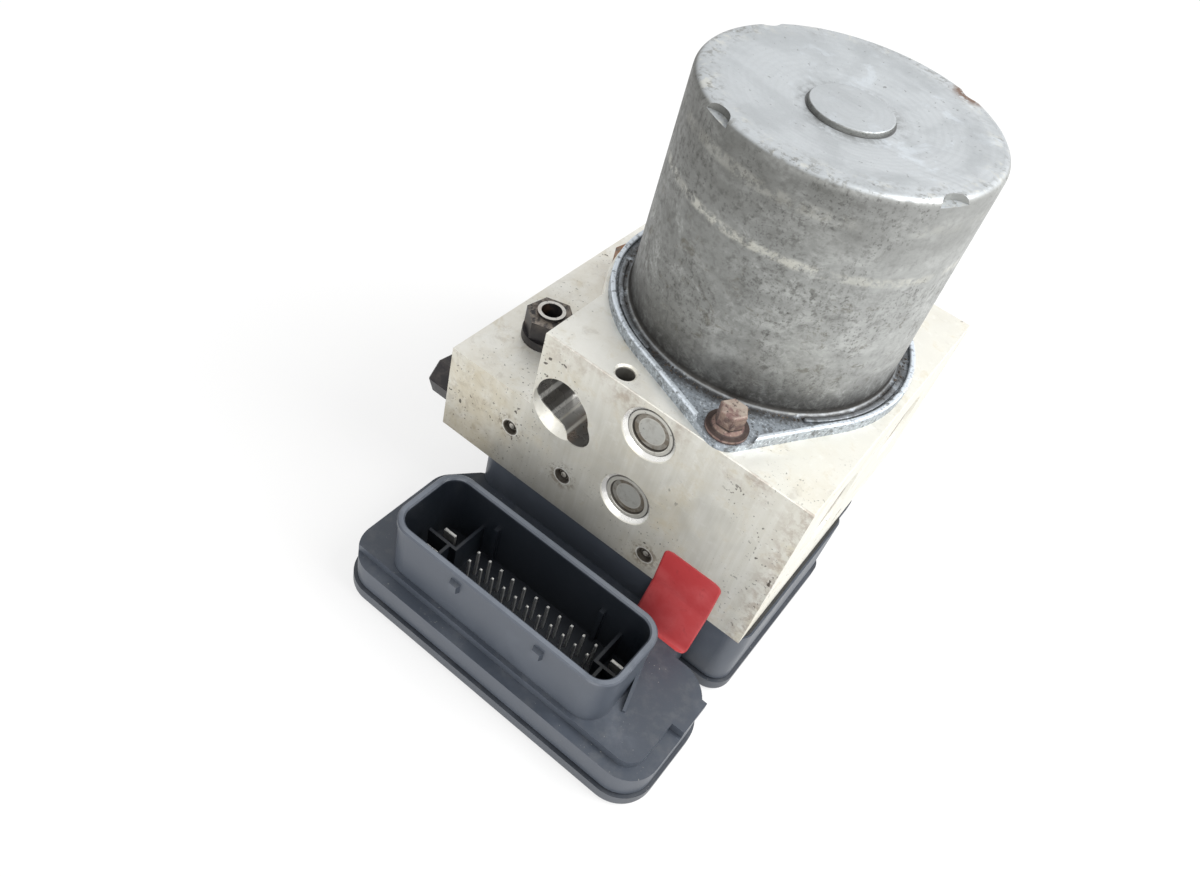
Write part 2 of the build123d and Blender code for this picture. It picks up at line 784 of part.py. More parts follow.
# Valve block: body, raised pad under the motor and all its bores
with BuildPart() as hydraulic_block:
    with BuildSketch(Plane.XY.offset(block_base)):
        with Locations(block_middle):
            Rectangle(*block_size)
    extrude(amount=block_height - shelf_drop)
    with BuildSketch(Plane.XY.offset(shelf_z)):
        with Locations(((block_right - step_left) / 2, block_middle[1])):
            Rectangle(step_left + block_right, block_size[1])
        Circle(pad_radius)
        with Locations(block_middle):
            Rectangle(*block_size, mode=Mode.INTERSECT)
    extrude(amount=shelf_drop)
    chamfer(hydraulic_block.faces().sort_by(Axis.Z)[-1].outer_wire().edges(), block_edge)
    # Cavity for the eccentric and seat for the shaft's lower end
    with Locations((0, 0, block_top)):
        Cylinder(cavity_radius, cavity_depth, align=under_face, mode=Mode.SUBTRACT)
        seat_run = cavity_depth + pilot_length + pilot_relief
        Cylinder(pilot_radius + fit, seat_run, align=under_face, mode=Mode.SUBTRACT)
    # Pump and damper bores through the front and rear faces
    plug_mouth = plug_radius + plug_chamfer
    for side, face in faces.items():
        for height in (pump_z, damper_z):
            with Locations(across(side, face, height)):
                Cone(plug_radius, plug_mouth, plug_chamfer, align=under_face, mode=Mode.SUBTRACT)
        with Locations(across(side, sleeve_end, pump_z)):
            Cylinder(plug_radius + fit, face - sleeve_end, align=on_base, mode=Mode.SUBTRACT)
        with Locations(across(side, sleeve_start, pump_z)):
            Cylinder(sleeve_radius + fit, sleeve_end - sleeve_start, align=on_base, mode=Mode.SUBTRACT)
        with Locations(across(side, 0, pump_z)):
            Cylinder(spring_bore_radius, sleeve_start, align=on_base, mode=Mode.SUBTRACT)
        with Locations(across(side, damper_start, damper_z)):
            Cylinder(plug_radius + fit, face - damper_start, align=on_base, mode=Mode.SUBTRACT)
    # Accumulator bores in the right face
    store_mouth = store_radius + plug_chamfer
    for y in store_rows:
        with Locations(right_face(y, store_drop)):
            Cylinder(store_radius, store_depth, align=under_face, mode=Mode.SUBTRACT)
            Cone(store_radius, store_mouth, plug_chamfer, align=under_face, mode=Mode.SUBTRACT)
    # Stepped valve bores from below
    with Locations(*[(x, y, block_base) for x, y in valve_places]):
        Cylinder(valve_flange_radius + fit, valve_flange_depth, align=on_base, mode=Mode.SUBTRACT)
    with Locations(*[(-valve_column, y, block_base) for y in valve_rows]):
        Cylinder(valve_body_radius + fit, inlet_depth, align=on_base, mode=Mode.SUBTRACT)
    with Locations(*[(valve_column, y, block_base) for y in valve_rows]):
        Cylinder(valve_body_radius + fit, outlet_depth, align=on_base, mode=Mode.SUBTRACT)
    # Ports for the master cylinder lines in the shelf
    with Locations(*[(-port_column, y, shelf_z) for y in port_rows]):
        Cylinder(port_radius, port_depth, align=under_face, mode=Mode.SUBTRACT)
        Cylinder(feed_radius, port_depth + feed_depth, align=under_face, mode=Mode.SUBTRACT)
    # Ports for the wheel lines in the left face
    for y in wheel_port_rows:
        with Locations(left_face(y, wheel_port_z)):
            Cylinder(wheel_port_radius, wheel_port_depth, align=under_face, mode=Mode.SUBTRACT)
            Cylinder(feed_radius, wheel_port_depth + feed_depth, align=under_face, mode=Mode.SUBTRACT)
    # Drilled galleries that the ball plugs close
    for x, drop, run in galleries:
        with Locations(front_face(x, drop)):
            Cylinder(ball_radius + fit, ball_radius + ball_sunk, align=under_face, mode=Mode.SUBTRACT)
            Cylinder(gallery_radius, run, align=under_face, mode=Mode.SUBTRACT)
    # Threads for the motor screws, the bracket and the control unit
    with Locations(*[(x, y, block_top) for x, y in bolt_places]):
        Cylinder(screw_radius + fit, screw_depth, align=under_face, mode=Mode.SUBTRACT)
    for x in (-bracket_thread_pitch / 2, bracket_thread_pitch / 2):
        with Locations(rear_face(x, bracket_thread_drop)):
            Cylinder(bracket_thread_radius, bracket_thread_depth, align=under_face, mode=Mode.SUBTRACT)
    with Locations(right_face(0, side_thread_drop)):
        Cylinder(bracket_thread_radius, bracket_thread_depth, align=under_face, mode=Mode.SUBTRACT)
    with Locations(*[(x, y, block_base) for x, y in unit_screw_places]):
        Cylinder(unit_screw_radius + fit, unit_screw_depth, align=on_base, mode=Mode.SUBTRACT)
    # Locating hole beside the motor flange
    with Locations((dowel_x, -block_front + dowel_edge, block_top)):
        Cylinder(dowel_radius, dowel_depth, align=under_face, mode=Mode.SUBTRACT)
        dowel_mouth = dowel_radius + dowel_chamfer
        Cone(dowel_radius, dowel_mouth, dowel_chamfer, align=under_face, mode=Mode.SUBTRACT)
    # Way for the motor's lead
    with Locations((lead_x, lead_y, block_base)):
        Cylinder(lead_radius + fit, block_height, align=on_base, mode=Mode.SUBTRACT)
    # Grommet pocket in the front face, with its run-out scallop
    with BuildSketch(front_face(0, 0)):
        with Locations((pocket_x, -pocket_drop)):
            Circle(pocket_radius)
        with Locations((pocket_end_x, -pocket_end_drop)):
            Circle(pocket_end_radius)
        make_hull()
    extrude(amount=-pocket_depth, mode=Mode.SUBTRACT)
    with BuildSketch(front_face(scallop_x, scallop_drop)):
        Circle(scallop_radius)
    extrude(amount=-scallop_depth, taper=scallop_slope, mode=Mode.SUBTRACT)
keep(hydraulic_block, "hydraulic_block")

# Flange of the motor can: a round plate with two ears
with BuildSketch() as flange_outline:
    Circle(flange_radius)
    with Locations(*bolt_places):
        Circle(ear_radius)
    make_hull()

# Motor can with its dished end, rolled flange lip and two ears
with BuildPart() as motor_can:
    with BuildSketch(Plane.XZ) as can_profile:
        with BuildLine():
            Polyline(
                (0, boss_z),
                (boss_radius, boss_z),
                (boss_radius, dish_z),
                (boss_radius + boss_gutter, dish_z),
                (dish_radius, can_top),
                (can_radius, can_top),
                (can_radius, flange_top),
                (flange_radius, flange_top),
                (flange_radius, block_top),
                (can_inner, block_top),
                (can_inner, can_top - can_wall),
                (dish_radius, can_top - can_wall),
                (boss_radius + boss_gutter, dish_z - can_wall),
                (boss_inner, dish_z - can_wall),
                (boss_inner, boss_z - can_wall),
                (0, boss_z - can_wall),
                close=True,
            )
        make_face()
        round_corner(can_profile, (boss_radius, boss_z), boss_edge)
        round_corner(can_profile, (dish_radius, can_top), dish_blend)
        round_corner(can_profile, (can_radius, can_top), can_rim_radius)
        round_corner(can_profile, (can_radius, flange_top), can_base_radius)
    revolve(axis=Axis.Z)
    with BuildSketch(Plane.XY.offset(block_top)):
        add(flange_outline.sketch)
        Circle(flange_radius - lip_width, mode=Mode.SUBTRACT)
    extrude(amount=flange_thickness)
    with BuildSketch(Plane.XY.offset(flange_top)):
        add(flange_outline.sketch)
        with BuildSketch(mode=Mode.PRIVATE) as lip_hole:
            add(flange_outline.sketch)
            offset(amount=-lip_width, mode=Mode.REPLACE)
        add(lip_hole.sketch, mode=Mode.SUBTRACT)
        with Locations(*bolt_places):
            Circle(ear_radius + lip_width, mode=Mode.SUBTRACT)
    extrude(amount=lip_rise)
    fillet(rim(motor_can, flange_top + lip_rise), lip_edge)
    bead_circle = can_radius + can_base_radius + bead_width / 2
    for start in bead_starts:
        bead_arc = CenterArc((0, 0), bead_circle, start, bead_span, mode=Mode.PRIVATE)
        with BuildSketch(Plane.XY.offset(flange_top)):
            SlotArc(bead_arc, bead_width)
        extrude(amount=bead_rise)
    fillet(rim(motor_can, flange_top + bead_rise), bead_edge)
    with Locations(*[(x, y, block_top) for x, y in bolt_places]):
        Cylinder(screw_radius + 2 * fit, flange_thickness, align=on_base, mode=Mode.SUBTRACT)
    with PolarLocations(can_radius + notch_reach, notch_count, start_angle=notch_angle):
        with Locations((0, 0, can_top)):
            Cylinder(notch_radius, notch_depth, align=under_face, mode=Mode.SUBTRACT)
keep(motor_can, "motor_can")

# Bearing shield at the open end of the motor
with BuildPart() as motor_shield:
    with Locations((0, 0, block_top)):
        Cylinder(can_inner - fit, shield_thickness, align=on_base)
        Cylinder(ball_bearing_radius + hub_wall, shield_thickness + ball_bearing_width, align=on_base)
        Cylinder(ball_bearing_radius - bearing_ring, shield_thickness, align=on_base, mode=Mode.SUBTRACT)
    with Locations((0, 0, shield_z)):
        Cylinder(ball_bearing_radius + fit, ball_bearing_width, align=on_base, mode=Mode.SUBTRACT)
    with Locations((lead_x, lead_y, block_top)):
        Cylinder(lead_radius + fit, shield_thickness, align=on_base, mode=Mode.SUBTRACT)
keep(motor_shield, "motor_shield")

# Ball bearing of the motor shaft
ball_circle = (ball_bearing_radius + shaft_radius) / 2
ball_z = shield_z + ball_bearing_width / 2
with BuildPart() as bearing_outer:
    with Locations((0, 0, shield_z)):
        Cylinder(ball_bearing_radius, ball_bearing_width, align=on_base)
        Cylinder(ball_bearing_radius - bearing_ring, ball_bearing_width, align=on_base, mode=Mode.SUBTRACT)
    with BuildSketch(Plane.XZ):
        with Locations((ball_circle, ball_z)):
            Circle(bearing_ball_radius + running_fit)
    revolve(axis=Axis.Z, mode=Mode.SUBTRACT)
keep(bearing_outer, "bearing_outer")

with BuildPart() as bearing_inner:
    with Locations((0, 0, shield_z)):
        Cylinder(shaft_radius + bearing_ring, ball_bearing_width, align=on_base)
        Cylinder(shaft_radius + fit, ball_bearing_width, align=on_base, mode=Mode.SUBTRACT)
    with BuildSketch(Plane.XZ):
        with Locations((ball_circle, ball_z)):
            Circle(bearing_ball_radius + fit)
    revolve(axis=Axis.Z, mode=Mode.SUBTRACT)
keep(bearing_inner, "bearing_inner")

with BuildPart() as bearing_balls:
    with PolarLocations(ball_circle, bearing_ball_count):
        with Locations((0, 0, ball_z)):
            Sphere(bearing_ball_radius)
keep(bearing_balls, "bearing_balls")

# Plain bearings at the shaft's two ends
with BuildPart() as upper_bushing:
    with Locations((0, 0, boss_z - can_wall - bushing_length)):
        Cylinder(boss_inner - fit, bushing_length, align=on_base)
        Cylinder(shaft_radius + running_fit, bushing_length, align=on_base, mode=Mode.SUBTRACT)
keep(upper_bushing, "upper_bushing")

with BuildPart() as pilot_bushing:
    with Locations((0, 0, block_top - cavity_depth)):
        Cylinder(pilot_radius, pilot_length + pilot_relief, align=under_face)
        Cylinder(shaft_radius + running_fit, pilot_length, align=under_face, mode=Mode.SUBTRACT)
    with Locations((0, 0, block_top - cavity_depth - pilot_length)):
        Cylinder(pilot_radius - pilot_relief, pilot_relief, align=under_face, mode=Mode.SUBTRACT)
keep(pilot_bushing, "pilot_bushing")

# Magnets bonded into the can
with BuildPart() as motor_magnets:
    magnet_gap = 2 * can_radius * sin(radians((360.0 / magnet_count - magnet_arc) / 2))
    with BuildSketch(Plane.XY.offset(core_z - magnet_overhang)):
        Circle(can_inner - fit)
        Circle(magnet_inner, mode=Mode.SUBTRACT)
        with PolarLocations(can_radius, magnet_count, start_angle=180.0 / magnet_count):
            Rectangle(can_radius, magnet_gap, mode=Mode.SUBTRACT)
    extrude(amount=core_length + 2 * magnet_overhang)
keep(motor_magnets, "motor_magnets")

# Turning parts: shaft with its eccentric, core, windings and commutator
with BuildPart() as rotor_shaft:
    with Locations((0, 0, block_top - shaft_below)):
        Cylinder(shaft_radius, shaft_top - block_top + shaft_below, align=on_base)
    with Locations((eccentric_throw, 0, eccentric_z)):
        Cylinder(eccentric_radius, eccentric_length, align=on_base)
    chamfer(rotor_shaft.edges().filter_by(GeomType.CIRCLE).sort_by(Axis.Z)[0], shaft_chamfer)
keep(rotor_shaft, "rotor_shaft")

with BuildPart() as eccentric_needles:
    with Locations((eccentric_throw, 0, eccentric_z)):
        with PolarLocations(eccentric_radius + needle_radius + fit, needle_count):
            Cylinder(needle_radius, eccentric_length, align=on_base)
keep(eccentric_needles, "eccentric_needles")

with BuildPart() as eccentric_race:
    with Locations((eccentric_throw, 0, eccentric_z)):
        Cylinder(eccentric_outer, eccentric_length, align=on_base)
        Cylinder(eccentric_outer - eccentric_ring, eccentric_length, align=on_base, mode=Mode.SUBTRACT)
keep(eccentric_race, "eccentric_race")

with BuildPart() as armature_core:
    with BuildSketch(Plane.XY.offset(core_z)):
        Circle(core_radius)
        Circle(shaft_radius + fit, mode=Mode.SUBTRACT)
        with PolarLocations(slot_circle, slot_count):
            Circle(slot_radius, mode=Mode.SUBTRACT)
        with PolarLocations(core_radius, slot_count):
            Rectangle((core_radius - slot_circle) * 2, slot_neck, mode=Mode.SUBTRACT)
    extrude(amount=core_length)
keep(armature_core, "armature_core")

with BuildPart() as armature_windings:
    with BuildSketch(Plane.XY.offset(core_z)):
        with PolarLocations(slot_circle, slot_count):
            Circle(slot_radius - winding_clear)
    extrude(amount=core_length)
    for level in (core_z - winding_head, core_z + core_length):
        with BuildSketch(Plane.XY.offset(level)):
            Circle(slot_circle + slot_radius)
            Circle(slot_circle - slot_radius - winding_inset, mode=Mode.SUBTRACT)
        extrude(amount=winding_head)
    ends = armature_windings.edges().filter_by(GeomType.CIRCLE).group_by(Axis.Z)
    fillet([ends[0].sort_by(SortBy.RADIUS)[-1], ends[-1].sort_by(SortBy.RADIUS)[-1]], winding_edge)
keep(armature_windings, "armature_windings")

with BuildPart() as commutator:
    with BuildSketch(Plane.XY.offset(block_top + commutator_base)):
        Circle(commutator_radius)
        Circle(shaft_radius + fit, mode=Mode.SUBTRACT)
        with PolarLocations(commutator_radius, commutator_bars, start_angle=180.0 / commutator_bars):
            Rectangle(2 * commutator_slit_depth, commutator_slit, mode=Mode.SUBTRACT)
    extrude(amount=commutator_length)
keep(commutator, "commutator")

# Brush holder and brushes
with BuildPart() as brush_holder:
    with BuildSketch(Plane.XY.offset(holder_z)):
        Circle(can_inner - holder_rim_gap)
        Circle(ball_bearing_radius + hub_wall + holder_hub_gap, mode=Mode.SUBTRACT)
    extrude(amount=holder_thickness)
    with BuildSketch(Plane.XY.offset(shield_z)):
        with PolarLocations(can_inner - holder_post_inset, holder_post_count):
            Circle(holder_post_radius)
    extrude(amount=holder_z - shield_z)
    guide_circle = commutator_radius + brush_gap + guide_standoff + brush_length / 2
    with BuildSketch(Plane.XY.offset(holder_top)):
        with PolarLocations(guide_circle, 2, start_angle=90):
            Rectangle(brush_length, brush_width + 2 * guide_wall)
            Rectangle(brush_length, brush_width + 2 * fit, mode=Mode.SUBTRACT)
    extrude(amount=brush_height)
keep(brush_holder, "brush_holder")

with BuildPart() as motor_brushes:
    with BuildSketch(Plane.XY.offset(holder_top)):
        with PolarLocations(commutator_radius + brush_gap + brush_length / 2, 2, start_angle=90):
            Rectangle(brush_length, brush_width)
        Circle(commutator_radius + brush_gap, mode=Mode.SUBTRACT)
    extrude(amount=brush_height - brush_head_room)
keep(motor_brushes, "motor_brushes")

# Lead from the motor through the block to the board
with BuildPart() as motor_lead:
    with Locations((lead_x, lead_y, board_top)):
        Cylinder(lead_radius, holder_z - board_top, align=on_base)
        with GridLocations(1, lead_pin_pitch, 1, 2):
            Cylinder(lead_pin_radius + fit, holder_z - board_top, align=on_base, mode=Mode.SUBTRACT)
keep(motor_lead, "motor_lead")

with BuildPart() as motor_lead_pins:
    with Locations((lead_x, lead_y, board_top)):
        with GridLocations(1, lead_pin_pitch, 1, 2):
            Cylinder(lead_pin_radius, holder_z - board_top, align=on_base)
keep(motor_lead_pins, "motor_lead_pins")

# Motor screws with hexagon heads on a collar and a washer face
with BuildPart() as motor_screws:
    collar_z = flange_top + screw_washer
    hex_z = collar_z + screw_flange
    with Locations(*[(x, y, block_top - screw_depth) for x, y in bolt_places]):
        Cylinder(screw_radius, screw_depth + flange_thickness, align=on_base)
    with Locations(*[(x, y, flange_top) for x, y in bolt_places]):
        Cylinder(screw_washer_radius, screw_washer, align=on_base)
    with Locations(*[(x, y, collar_z) for x, y in bolt_places]):
        Cone(screw_flange_radius, screw_hex_flats / 2, screw_flange, align=on_base)
    with BuildSketch(Plane.XY.offset(collar_z)):
        with Locations(*bolt_places):
            RegularPolygon(screw_hex_flats / 2, 6, major_radius=False)
    extrude(amount=screw_flange + screw_hex_height)
    chamfer(motor_screws.faces().filter_by(Axis.Z).group_by(Axis.Z)[-1].edges(), screw_edge)
keep(motor_screws, "motor_screws")

# Pump elements and dampers, one of each on both sides of the eccentric
for side, face in faces.items():
    plug_face = face - plug_recess
    outermost = -1 if side == "rear" else 0
    with BuildPart() as pump_sleeve:
        with Locations(across(side, sleeve_start, pump_z)):
            Cylinder(sleeve_radius, sleeve_end - sleeve_start, align=on_base)
            Cylinder(piston_radius + running_fit, piston_length, align=on_base, mode=Mode.SUBTRACT)
            Cylinder(outlet_radius, sleeve_end - sleeve_start, align=on_base, mode=Mode.SUBTRACT)
    keep(pump_sleeve, f"pump_sleeve_{side}")

    with BuildPart() as pump_piston:
        with Locations(across(side, piston_start, pump_z)):
            Cylinder(piston_radius, piston_length, align=on_base)
        with Locations(across(side, piston_start + piston_collar, pump_z)):
            Cylinder(piston_collar_radius, piston_collar, align=on_base)
    keep(pump_piston, f"pump_piston_{side}")

    spring_start = piston_start + 2 * piston_collar
    spring_radius = (piston_radius + spring_bore_radius) / 2
    spring_run = sleeve_start - spring_start - 2 * pump_wire_radius
    with BuildPart() as pump_spring:
        with BuildLine() as coil:
            Helix(
                spring_run / pump_spring_turns,
                spring_run,
                spring_radius,
                center=(0, sides[side] * (spring_start + pump_wire_radius), pump_z),
                direction=(0, sides[side], 0),
            )
        with BuildSketch(Plane(origin=coil.line @ 0, z_dir=coil.line % 0)):
            RegularPolygon(pump_wire_radius, wire_sides)
        sweep(is_frenet=True)
    keep(pump_spring, f"pump_spring_{side}")

    with BuildPart() as pump_plug:
        with Locations(across(side, sleeve_end, pump_z)):
            Cylinder(plug_radius, plug_face - sleeve_end, align=on_base)
            Cylinder(outlet_radius * 2, plug_passage, align=on_base, mode=Mode.SUBTRACT)
        with Locations(across(side, plug_face, pump_z)):
            Cylinder(plug_radius - plug_rim, plug_dish, align=under_face, mode=Mode.SUBTRACT)
        crown = pump_plug.edges().filter_by(GeomType.CIRCLE).group_by(Axis.Y)[outermost]
        fillet(crown, plug_edge)
    keep(pump_plug, f"pump_plug_{side}")

    damper_end = plug_face - damper_plug_length
    with BuildPart() as damper_insert:
        with Locations(across(side, damper_start, damper_z)):
            Cylinder(plug_radius, damper_end - damper_start, align=on_base)
            Cylinder(damper_bore, damper_end - damper_start, align=on_base, mode=Mode.SUBTRACT)
    keep(damper_insert, f"damper_insert_{side}")

    with BuildPart() as damper_plug:
        with Locations(across(side, damper_end, damper_z)):
            Cylinder(plug_radius, damper_plug_length, align=on_base)
            Cylinder(damper_bore, damper_plug_bore, align=on_base, mode=Mode.SUBTRACT)
        with Locations(across(side, plug_face, damper_z)):
            Cylinder(plug_radius - plug_rim, plug_dish, align=under_face, mode=Mode.SUBTRACT)
        crown = damper_plug.edges().filter_by(GeomType.CIRCLE).group_by(Axis.Y)[outermost]
        fillet(crown, plug_edge)
    keep(damper_plug, f"damper_plug_{side}")

# Low-pressure accumulators in the right face
piston_seat = store_depth - store_piston_gap
cap_seat = store_cap_recess + store_cap_thickness
store_run = piston_seat - store_piston_length - cap_seat - 2 * store_wire_radius
for side, y in zip(sides, store_rows):
    with BuildPart() as store_piston:
        with Locations(right_face(y, store_drop, piston_seat)):
            Cylinder(store_radius - running_fit, store_piston_length, align=on_base)
        with Locations(right_face(y, store_drop, piston_seat - store_piston_crown)):
            bore_run = store_piston_length - store_piston_crown
            Cylinder(store_radius - store_piston_wall, bore_run, align=on_base, mode=Mode.SUBTRACT)
    keep(store_piston, f"store_piston_{side}")

    with BuildPart() as store_spring:
        spring_x = block_right - piston_seat + store_piston_length + store_wire_radius
        with BuildLine() as coil:
            Helix(
                store_run / store_spring_turns,
                store_run,
                store_radius - store_spring_inset,
                center=(spring_x, y, store_z),
                direction=(1, 0, 0),
            )
        with BuildSketch(Plane(origin=coil.line @ 0, z_dir=coil.line % 0)):
            RegularPolygon(store_wire_radius, wire_sides)
        sweep(is_frenet=True)
    keep(store_spring, f"store_spring_{side}")

with BuildPart() as store_caps:
    for y in store_rows:
        with Locations(right_face(y, store_drop, store_cap_recess)):
            Cylinder(store_radius - fit, store_cap_thickness, align=under_face)
            Cylinder(store_radius - store_cap_rim, store_cap_dish, align=under_face, mode=Mode.SUBTRACT)
keep(store_caps, "store_caps")

# Valve cartridges, revolved about one bore and set into each place
for kind, x, depth in (("inlet", -valve_column, inlet_depth), ("outlet", valve_column, outlet_depth)):
    bore = dome_radius - dome_wall
    guide = needle_pin_radius + plunger_clear
    guide_z = plunger_length + plunger_head_room - dome_length
    with BuildPart() as cartridge:
        with BuildSketch(Plane.XZ):
            with BuildLine():
                Polyline(
                    (0, -dome_length),
                    (dome_radius, -dome_length),
                    (dome_radius, 0),
                    (valve_flange_radius, 0),
                    (valve_flange_radius, valve_flange_depth),
                    (valve_body_radius, valve_flange_depth),
                    (valve_body_radius, depth),
                    (seat_radius, depth),
                    (seat_radius, depth - seat_depth),
                    (guide, depth - seat_depth),
                    (guide, guide_z),
                    (bore, guide_z),
                    (bore, dome_wall - dome_length),
                    (0, dome_wall - dome_length),
                    close=True,
                )
            make_face()
        revolve(axis=Axis.Z)
        fillet(cartridge.edges().filter_by(GeomType.CIRCLE).sort_by(Axis.Z)[0], dome_wall)
    with BuildPart() as valve_bodies:
        with Locations(*[(x, y, block_base) for y in valve_rows]):
            add(cartridge.part)
    keep(valve_bodies, f"{kind}_valve_bodies")

    lift = valve_lift if kind == "outlet" else 0.0
    plunger_z = dome_z + dome_wall + plunger_rest + lift
    needle_length = depth - seat_depth + dome_length - dome_wall - plunger_rest
    for n, y in enumerate(valve_rows):
        with BuildPart() as plunger:
            with Locations((x, y, plunger_z)):
                Cylinder(bore - plunger_clear, plunger_length, align=on_base)
                Cylinder(needle_pin_radius, needle_length, align=on_base)
        keep(plunger, f"{kind}_plunger_{n + 1}")

# Solenoid coils over the valve domes, standing on the board
with BuildPart() as valve_coils:
    with BuildSketch(Plane.XY.offset(coil_bottom)):
        with Locations(*valve_places):
            Circle(coil_radius)
            Circle(dome_radius + coil_bore_gap, mode=Mode.SUBTRACT)
    extrude(amount=coil_length)
    with BuildSketch(Plane.XY.offset(board_top)):
        with Locations(*valve_places):
            with GridLocations(1, coil_radius, 1, 2):
                Rectangle(coil_leg, coil_leg)
    extrude(amount=coil_bottom - board_top)
keep(valve_coils, "valve_coils")

# Screws that hold the control unit to the block
with BuildPart() as ecu_screws:
    shank_run = unit_post_drop + seal_thickness + unit_screw_depth - unit_screw_tip_gap
    with Locations(*[(x, y, unit_post_z) for x, y in unit_screw_places]):
        Cylinder(unit_screw_radius, shank_run, align=on_base)
    with Locations(*[(x, y, unit_post_z - unit_screw_head) for x, y in unit_screw_places]):
        Cylinder(unit_screw_head_radius, unit_screw_head, align=on_base)
        Cylinder(unit_screw_socket, unit_screw_socket_depth, align=on_base, mode=Mode.SUBTRACT)
keep(ecu_screws, "ecu_screws")

# Balls pressed into the gallery mouths
with BuildPart() as ball_plugs:
    for x, drop, run in galleries:
        with Locations((x, -block_front + ball_sunk, block_top - drop)):
            Sphere(ball_radius)
keep(ball_plugs, "ball_plugs")

# Tube nuts left in the two shelf ports and in one side port
with BuildPart() as shelf_tube_nuts:
    for y in port_rows:
        with BuildSketch(Plane.XY.offset(shelf_z + nut_foot)):
            with Locations((-port_column, y)):
                RegularPolygon(nut_flats / 2, 6, major_radius=False, rotation=nut_turn)
        extrude(amount=nut_height - nut_foot)
    chamfer(shelf_tube_nuts.faces().filter_by(Axis.Z).group_by(Axis.Z)[-1].edges(), nut_edge)
    with Locations(*[(-port_column, y, shelf_z) for y in port_rows]):
        Cylinder(nut_foot_radius, nut_foot, align=on_base)
        Cylinder(nut_bore + nut_ring, nut_height + nut_ring_rise, align=on_base)
        Cylinder(port_radius - fit, port_depth - nut_tip_gap, align=under_face)
        Cylinder(nut_bore, nut_height + nut_ring_rise, align=on_base, mode=Mode.SUBTRACT)
        Cylinder(nut_bore, port_depth - nut_tip_gap, align=under_face, mode=Mode.SUBTRACT)
keep(shelf_tube_nuts, "shelf_tube_nuts")

with BuildPart() as side_tube_nut:
    nut_face = left_face(wheel_port_rows[0], wheel_port_z)
    with BuildSketch(nut_face):
        RegularPolygon(wheel_nut_flats / 2, 6, major_radius=False, rotation=wheel_nut_turn)
    extrude(amount=wheel_nut_height)
    chamfer(side_tube_nut.faces().sort_by(Axis.X)[0].edges(), nut_edge)
    with Locations(nut_face):
        Cylinder(wheel_port_radius - fit, wheel_port_depth - nut_tip_gap, align=under_face)
        Cylinder(wheel_nut_bore, wheel_nut_height, align=on_base, mode=Mode.SUBTRACT)
        Cylinder(wheel_nut_bore, wheel_port_depth - nut_tip_gap, align=under_face, mode=Mode.SUBTRACT)
keep(side_tube_nut, "side_tube_nut")
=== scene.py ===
"""Dress an anti-lock brake module: pump motor, valve block and control unit, with the wear of a used part."""

import logging
from dataclasses import dataclass, field
from enum import Enum
from math import hypot, pi, sqrt
from typing import Sequence

import bmesh
import bpy
from mathutils import Matrix, Vector, noise


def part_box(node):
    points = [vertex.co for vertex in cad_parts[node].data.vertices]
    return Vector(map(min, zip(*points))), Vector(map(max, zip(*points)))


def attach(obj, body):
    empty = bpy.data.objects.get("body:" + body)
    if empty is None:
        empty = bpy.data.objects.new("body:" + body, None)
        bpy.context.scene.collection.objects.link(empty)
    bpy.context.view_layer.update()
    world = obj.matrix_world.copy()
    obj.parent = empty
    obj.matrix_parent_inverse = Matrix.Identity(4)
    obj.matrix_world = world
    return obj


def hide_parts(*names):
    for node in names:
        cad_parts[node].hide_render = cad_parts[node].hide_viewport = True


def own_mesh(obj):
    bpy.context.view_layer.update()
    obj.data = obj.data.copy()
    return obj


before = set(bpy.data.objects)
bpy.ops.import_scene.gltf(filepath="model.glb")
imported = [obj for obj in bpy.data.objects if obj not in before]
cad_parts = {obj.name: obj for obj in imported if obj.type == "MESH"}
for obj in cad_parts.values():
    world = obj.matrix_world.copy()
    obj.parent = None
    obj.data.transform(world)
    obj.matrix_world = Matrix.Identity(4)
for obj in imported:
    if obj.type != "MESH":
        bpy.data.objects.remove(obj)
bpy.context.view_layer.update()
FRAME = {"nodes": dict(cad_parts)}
LOG = logging.getLogger("brake_module")

BODY = "module"
MM = 0.001
BLOCK_LOW, BLOCK_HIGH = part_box("hydraulic_block")
BLOCK_TOP = BLOCK_HIGH[2]
BLOCK_FOOT = BLOCK_LOW[2]
BLOCK_FRONT = BLOCK_LOW[1]
# The block's faces in millimetres, as the finishes use them.
TOP, FOOT, FRONT, RIGHT = (face / MM for face in (BLOCK_TOP, BLOCK_FOOT, BLOCK_FRONT, BLOCK_HIGH[0]))
# Drops of the end plugs below the block's top, and place across and drop of each staked ball.
PLUG_DROPS = (9.2, 33.7)
GALLERIES = ((-38.0, 37.6), (-19.0, 41.2), (10.4, 47.5))
# Steps in each turn of a winding.
TURN_STEPS = 28

Colour = tuple[float, float, float]
Point = tuple[float, float, float]
Socket = bpy.types.NodeSocket


class Axis(Enum):
    """A direction of the module's frame."""

    X = 0
    Y = 1
    Z = 2


@dataclass(frozen=True)
class Noise:
    """Soft noise: cells per metre, octaves, weight of the finer ones, distortion and stretch by axis."""

    scale: float
    detail: float = 4.0
    rough: float = 0.55
    bend: float = 0.0
    stretch: Point = (1.0, 1.0, 1.0)


